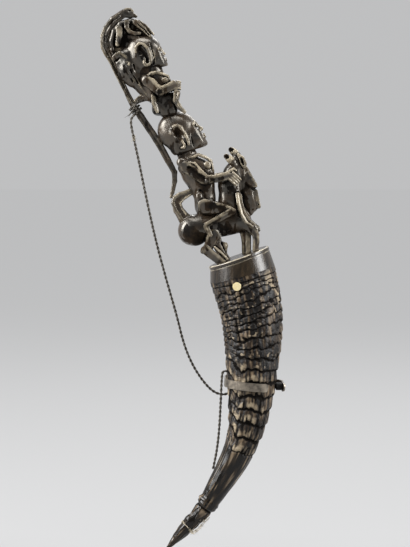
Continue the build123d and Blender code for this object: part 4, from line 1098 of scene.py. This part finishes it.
def frames(path):
    """Two directions square to the path at each point, carried along it without twist."""
    tangent = np.gradient(path, axis=0)
    tangent /= np.linalg.norm(tangent, axis=1, keepdims=True)
    first = np.cross(tangent[0], (0.3, 0.2, 1.0))
    u = [first / np.linalg.norm(first)]
    for t in tangent[1:]:
        v = u[-1] - t * (u[-1] @ t)
        u.append(v / np.linalg.norm(v))
    u = np.array(u)
    return u, np.cross(tangent, u)


def tube(path, radius, sides=8):
    """Points and faces of a closed tube; radius is one number or one for each point."""
    u, v = frames(path)
    radius = np.broadcast_to(radius, len(path))[:, None, None]
    a = np.arange(sides) * 2 * pi / sides
    across = u[:, None] * np.cos(a)[None, :, None] + v[:, None] * np.sin(a)[None, :, None]
    skin = path[:, None] + radius * across
    n = len(path)
    i, j = np.meshgrid(np.arange(n - 1), np.arange(sides), indexing="ij")
    p, q = i * sides + j, i * sides + (j + 1) % sides
    faces = np.stack([p, q, q + sides, p + sides], -1).reshape(-1, 4).tolist()
    faces += [list(range(sides))[::-1], [(n - 1) * sides + k for k in range(sides)]]
    return skin.reshape(-1, 3), faces


def gather(shapes):
    """All shapes as the points and faces of one mesh."""
    points, faces, first = [], [], 0
    for p, f in shapes:
        points.append(p)
        faces += [[i + first for i in face] for face in f]
        first += len(p)
    return np.concatenate(points), faces


def twisted(path, diameter, lay, strands=2, sides=8):
    """Strands laid round each other along the path, one turn in every lay millimetres."""
    path, s = even(path, diameter * 0.22)
    u, v = frames(path)
    r, offset = diameter * 0.27, diameter * 0.235
    wobble = 1 + 0.10 * grain(path, diameter * 2.5, 2)
    shapes = []
    for k in range(strands):
        a = 2 * pi * (s / lay + k / strands)
        strand = path + offset * (u * np.cos(a)[:, None] + v * np.sin(a)[:, None])
        shapes.append(tube(strand, r * wobble, sides))
    return shapes


def drawn(path, count):
    """This many points along the straight runs between the path's own."""
    path = np.array(path)
    at, own = np.linspace(0, len(path) - 1, count), np.arange(len(path))
    return np.stack([np.interp(at, own, path[:, k]) for k in range(3)], axis=1)


def hairs(centre, reach, count, length, heading, spread, thick, seed):
    """Short loose fibres from round a place, which lean along a heading."""
    rng = np.random.default_rng(seed)
    shapes = []
    for _ in range(count):
        start = np.array(centre) + rng.normal(0, 1, 3) * reach
        d = np.array(heading, float) + rng.normal(0, spread, 3)
        d /= np.linalg.norm(d)
        bend = rng.normal(0, 0.35, 3)
        n = length * rng.uniform(0.5, 1.1)
        path = np.array([start + d * n * t + bend * n * t * t for t in np.linspace(0, 1, 5)])
        shapes.append(tube(path, np.linspace(thick, thick * 0.35, 5), 5))
    return shapes


def spline_path(points):
    """Points along the smooth curve that has these points as its control points."""
    curve = bpy.data.curves.new("route", "CURVE")
    curve.dimensions = "3D"
    curve.resolution_u = 14
    spline = curve.splines.new("NURBS")
    spline.points.add(len(points) - 1)
    for point, co in zip(spline.points, row(points)):
        point.co = (*co, 1)
    spline.order_u = 3
    spline.use_endpoint_u = True
    carrier = bpy.data.objects.new("route", curve)
    mesh = bpy.data.meshes.new_from_object(carrier)
    path = np.array([v.co[:] for v in mesh.vertices])
    bpy.data.objects.remove(carrier)
    bpy.data.curves.remove(curve)
    bpy.data.meshes.remove(mesh)
    return path / MM - (0, middle, 0)


route = [lashing_end, tuple(np.array(lashing_end) + cord_lead * np.array(cord_heading)), *cord_route]
cord_line = spline_path(route)
strands = twisted(cord_line, cord_d, cord_lay)
tuft = hairs((-68.7, -2.9, 177.3), (0.3, 0.3, 1.0), 34, 1.4, (-0.2, -0.3, 0.5), 0.6, 0.22, 5)
points, faces = gather(strands + tuft)
frayed = np.zeros(len(points))
frayed[sum(len(p) for p, _ in strands):] = 1
cord = new_object("tether", points, faces, None, fibre_look, ["tether_cord"],
                  second_look=(thread_look, frayed))
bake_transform(cord)

# Lashing on the tail rod: two turns, crossed by loose ends
tie, tail_axis, tail_r = np.array((-69.04, 0.0, 199.46)), np.array((0.6, 0.0, -0.8)), 2.25
lashing_turns, lashing_pitch, lashing_gap, lashing_drop = 2.0, 2.4, 0.2, 2.2
lashing_r = tail_r + lashing_gap + cord_d / 2
side_way, front_way = np.array((0.0, -1.0, 0.0)), np.array((-0.8, 0.0, -0.6))
turn = np.linspace(0, lashing_turns, 97)[:, None]
start = tie + tail_axis * (lashing_drop - lashing_turns * lashing_pitch / 2)
coil = start + tail_axis * lashing_pitch * turn + lashing_r * (
    side_way * np.cos(2 * pi * turn) + front_way * np.sin(2 * pi * turn)
)
heads = [step / np.linalg.norm(step) for step in (coil[1] - coil[0], coil[-1] - coil[-2])]
coil = np.concatenate([[coil[0] - heads[0] * cord_d], coil, [coil[-1] + heads[1] * cord_d]])
shapes = twisted(coil, cord_d, cord_lay)
for path in (
    [(-65.4, -3.2, 204.2), (-67.6, -4.6, 200.6), (-69.6, -4.4, 196.6), (-72.0, -3.6, 193.4)],
    [(-71.0, -2.2, 203.0), (-68.6, -4.4, 200.2), (-66.6, -4.4, 197.0), (-66.2, -3.4, 195.0)],
):
    shapes += twisted(drawn(path, 25), 1.1, 3.6, sides=6)
shapes += hairs((-65.6, -3.2, 204.0), (0.4, 0.4, 0.5), 8, 3.0, (0.4, -0.2, 1.0), 0.5, 0.08, 6)
shapes += hairs((-71.6, -3.4, 194.0), (0.4, 0.4, 0.5), 8, 2.6, (-0.7, -0.2, -0.6), 0.5, 0.08, 7)
points, faces = gather(shapes)
new_object("lashing", points, faces, "stopper", fibre_look, ["tether_lashing"])

# Thread round the neck of the tip, with its loose frayed end
thread_at, thread_d, thread_turns, thread_pitch, thread_gap = 191.5, 0.7, 1.5, 1.25, 0.1
turn = np.linspace(0, thread_turns, 73)
s_at = thread_at + (turn - thread_turns / 2) * thread_pitch
thread_r = plain_radius(thread_at) + thread_gap + thread_d / 2
wind = horn_points(s_at, -2 * pi * turn + pi / 2 + pi * thread_turns, thread_r)
shapes = twisted(wind, thread_d, 2.2, sides=6)
loose = [wind[-1], (-28.6, -4.6, -99.6), (-26.0, -4.2, -98.4), (-23.0, -3.6, -95.6), (-20.2, -3.0, -92.0),
         (-16.4, -2.4, -88.0)]
dense = drawn(loose, 41)
shapes += twisted(dense, 0.55, 2.4, sides=5)
shapes += twisted(dense + (0.5, -0.5, -0.9), 0.5, 2.0, sides=5)
for k in range(4):
    shapes += hairs(loose[1 + k], (0.6, 0.5, 0.6), 14, 3.6, (0.6, -0.1, 0.5), 0.55, 0.09, 20 + k)
shapes += hairs(loose[1], (0.3, 0.3, 0.3), 7, 2.4, (0.4, -0.2, -0.6), 0.7, 0.07, 30)
points, faces = gather(shapes)
new_object("tip_binding", points, faces, "horn", thread_look, ["tip_thread"])

# ---- Materials of the pieces that stay as built ----

for name, material in (
    ("neck_ring", neck_wood), ("stopper_plug", platform_wood), ("front_peg", bone), ("rear_peg", bone),
    ("strap", patina), ("stand_socket", patina),
):
    for material_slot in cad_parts[name].material_slots:
        material_slot.material = material

# ---- Camera, floor and light ----

photo_width, photo_height, pixel = 410, 547, 0.7  # the photograph's size, and millimetres for a pixel
origin_u, origin_v = 232.6, 392.0
camera_away, camera_up, film = 1480.0, radians(4.2), 36.0
target = Vector(((photo_width / 2 - origin_u) * pixel, middle, (origin_v - photo_height / 2) * pixel)) * MM
away = Vector((0, -cos(camera_up), sin(camera_up)))
camera = bpy.data.objects.new("camera", bpy.data.cameras.new("camera"))
bpy.context.scene.collection.objects.link(camera)
camera.location = target + away * camera_away * MM
camera.rotation_euler = (-away).to_track_quat("-Z", "Y").to_euler()
camera.data.sensor_fit = "VERTICAL"
camera.data.sensor_height = film
camera.data.lens = film * camera_away / pixel / photo_height
camera.data.clip_start, camera.data.clip_end = 0.05, 30
bpy.context.scene.camera = camera

backdrop_colour = (0.93, 0.935, 0.945, 1)
# the backdrop as seen, the room before the object in its gloss, the light of both, the glow of the floor
backdrop_level, front_level, fill_level, floor_glow = 0.56, 0.14, 0.12, 0.53


def shown_ray(tree):
    """One for the rays that show the backdrop: from the camera, and through gloss and glass."""
    rays = node(tree, "LightPath")
    through = math(tree, "MAXIMUM", rays.outputs["Is Glossy Ray"], rays.outputs["Is Transmission Ray"])
    return math(tree, "MAXIMUM", rays.outputs["Is Camera Ray"], through)


floor_drop = 15.0  # how far below the horn's tip the floor lies
floor_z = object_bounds()[0][2] - floor_drop * MM
floor_mesh = bpy.data.meshes.new("floor")
floor_corners = (-6, -4), (6, -4), (6, 8), (-6, 8)
floor_mesh.from_pydata([(x, y, floor_z) for x, y in floor_corners], [], [(0, 1, 2, 3)])
floor = bpy.data.objects.new("floor", floor_mesh)
bpy.context.scene.collection.objects.link(floor)
floor_look, tree, shader = make_material("floor_look")
shader.inputs["Base Color"].default_value = (0.13, 0.13, 0.13, 1)
shader.inputs["Roughness"].default_value = 1.0
shader.inputs["Specular IOR Level"].default_value = 0.0
shader.inputs["Emission Color"].default_value = backdrop_colour
tree.links.new(math(tree, "MULTIPLY", shown_ray(tree), floor_glow), shader.inputs["Emission Strength"])
floor_mesh.materials.append(floor_look)

world = bpy.data.worlds.new("studio")
bpy.context.scene.world = world
world.use_nodes = True
tree = world.node_tree
tree.nodes.clear()
heading = node(tree, "SeparateXYZ", [("Vector", node(tree, "TexCoord").outputs["Generated"])]).outputs["Y"]
behind = node(tree, "MapRange", [("Value", heading)], From_Min=-0.25, From_Max=0.35).outputs[0]
from_camera = node(tree, "LightPath").outputs["Is Camera Ray"]
seen = math(tree, "MAXIMUM", behind, from_camera)
seen = math(tree, "MULTIPLY_ADD", seen, backdrop_level - front_level, front_level)
strength = mix(tree, shown_ray(tree), fill_level, seen)
background = node(tree, "Background", [("Strength", strength)])
background.inputs["Color"].default_value = backdrop_colour
tree.links.new(background.outputs[0], node(tree, "OutputWorld").inputs["Surface"])


lamps_aim = Vector((-0.02, -0.02, 0.08))


def lamp(name, place, size, power):
    light = bpy.data.lights.new(name, "AREA")
    light.shape = "RECTANGLE"
    light.size, light.size_y = size
    light.energy = power
    holder = bpy.data.objects.new(name, light)
    bpy.context.scene.collection.objects.link(holder)
    holder.location = place
    holder.rotation_euler = (lamps_aim - Vector(place)).to_track_quat("-Z", "Y").to_euler()


lamp("left_box", (-1.03, -0.32, 0.60), (0.65, 0.85), 26)
lamp("right_box", (0.95, -0.32, 0.48), (0.5, 0.85), 15)
lamp("top_box", (-0.10, -0.30, 1.25), (0.7, 0.4), 8)
lamp("back_box", (0.30, 0.95, 0.95), (0.9, 0.5), 9)

bpy.context.scene.view_settings.view_transform = "Standard"
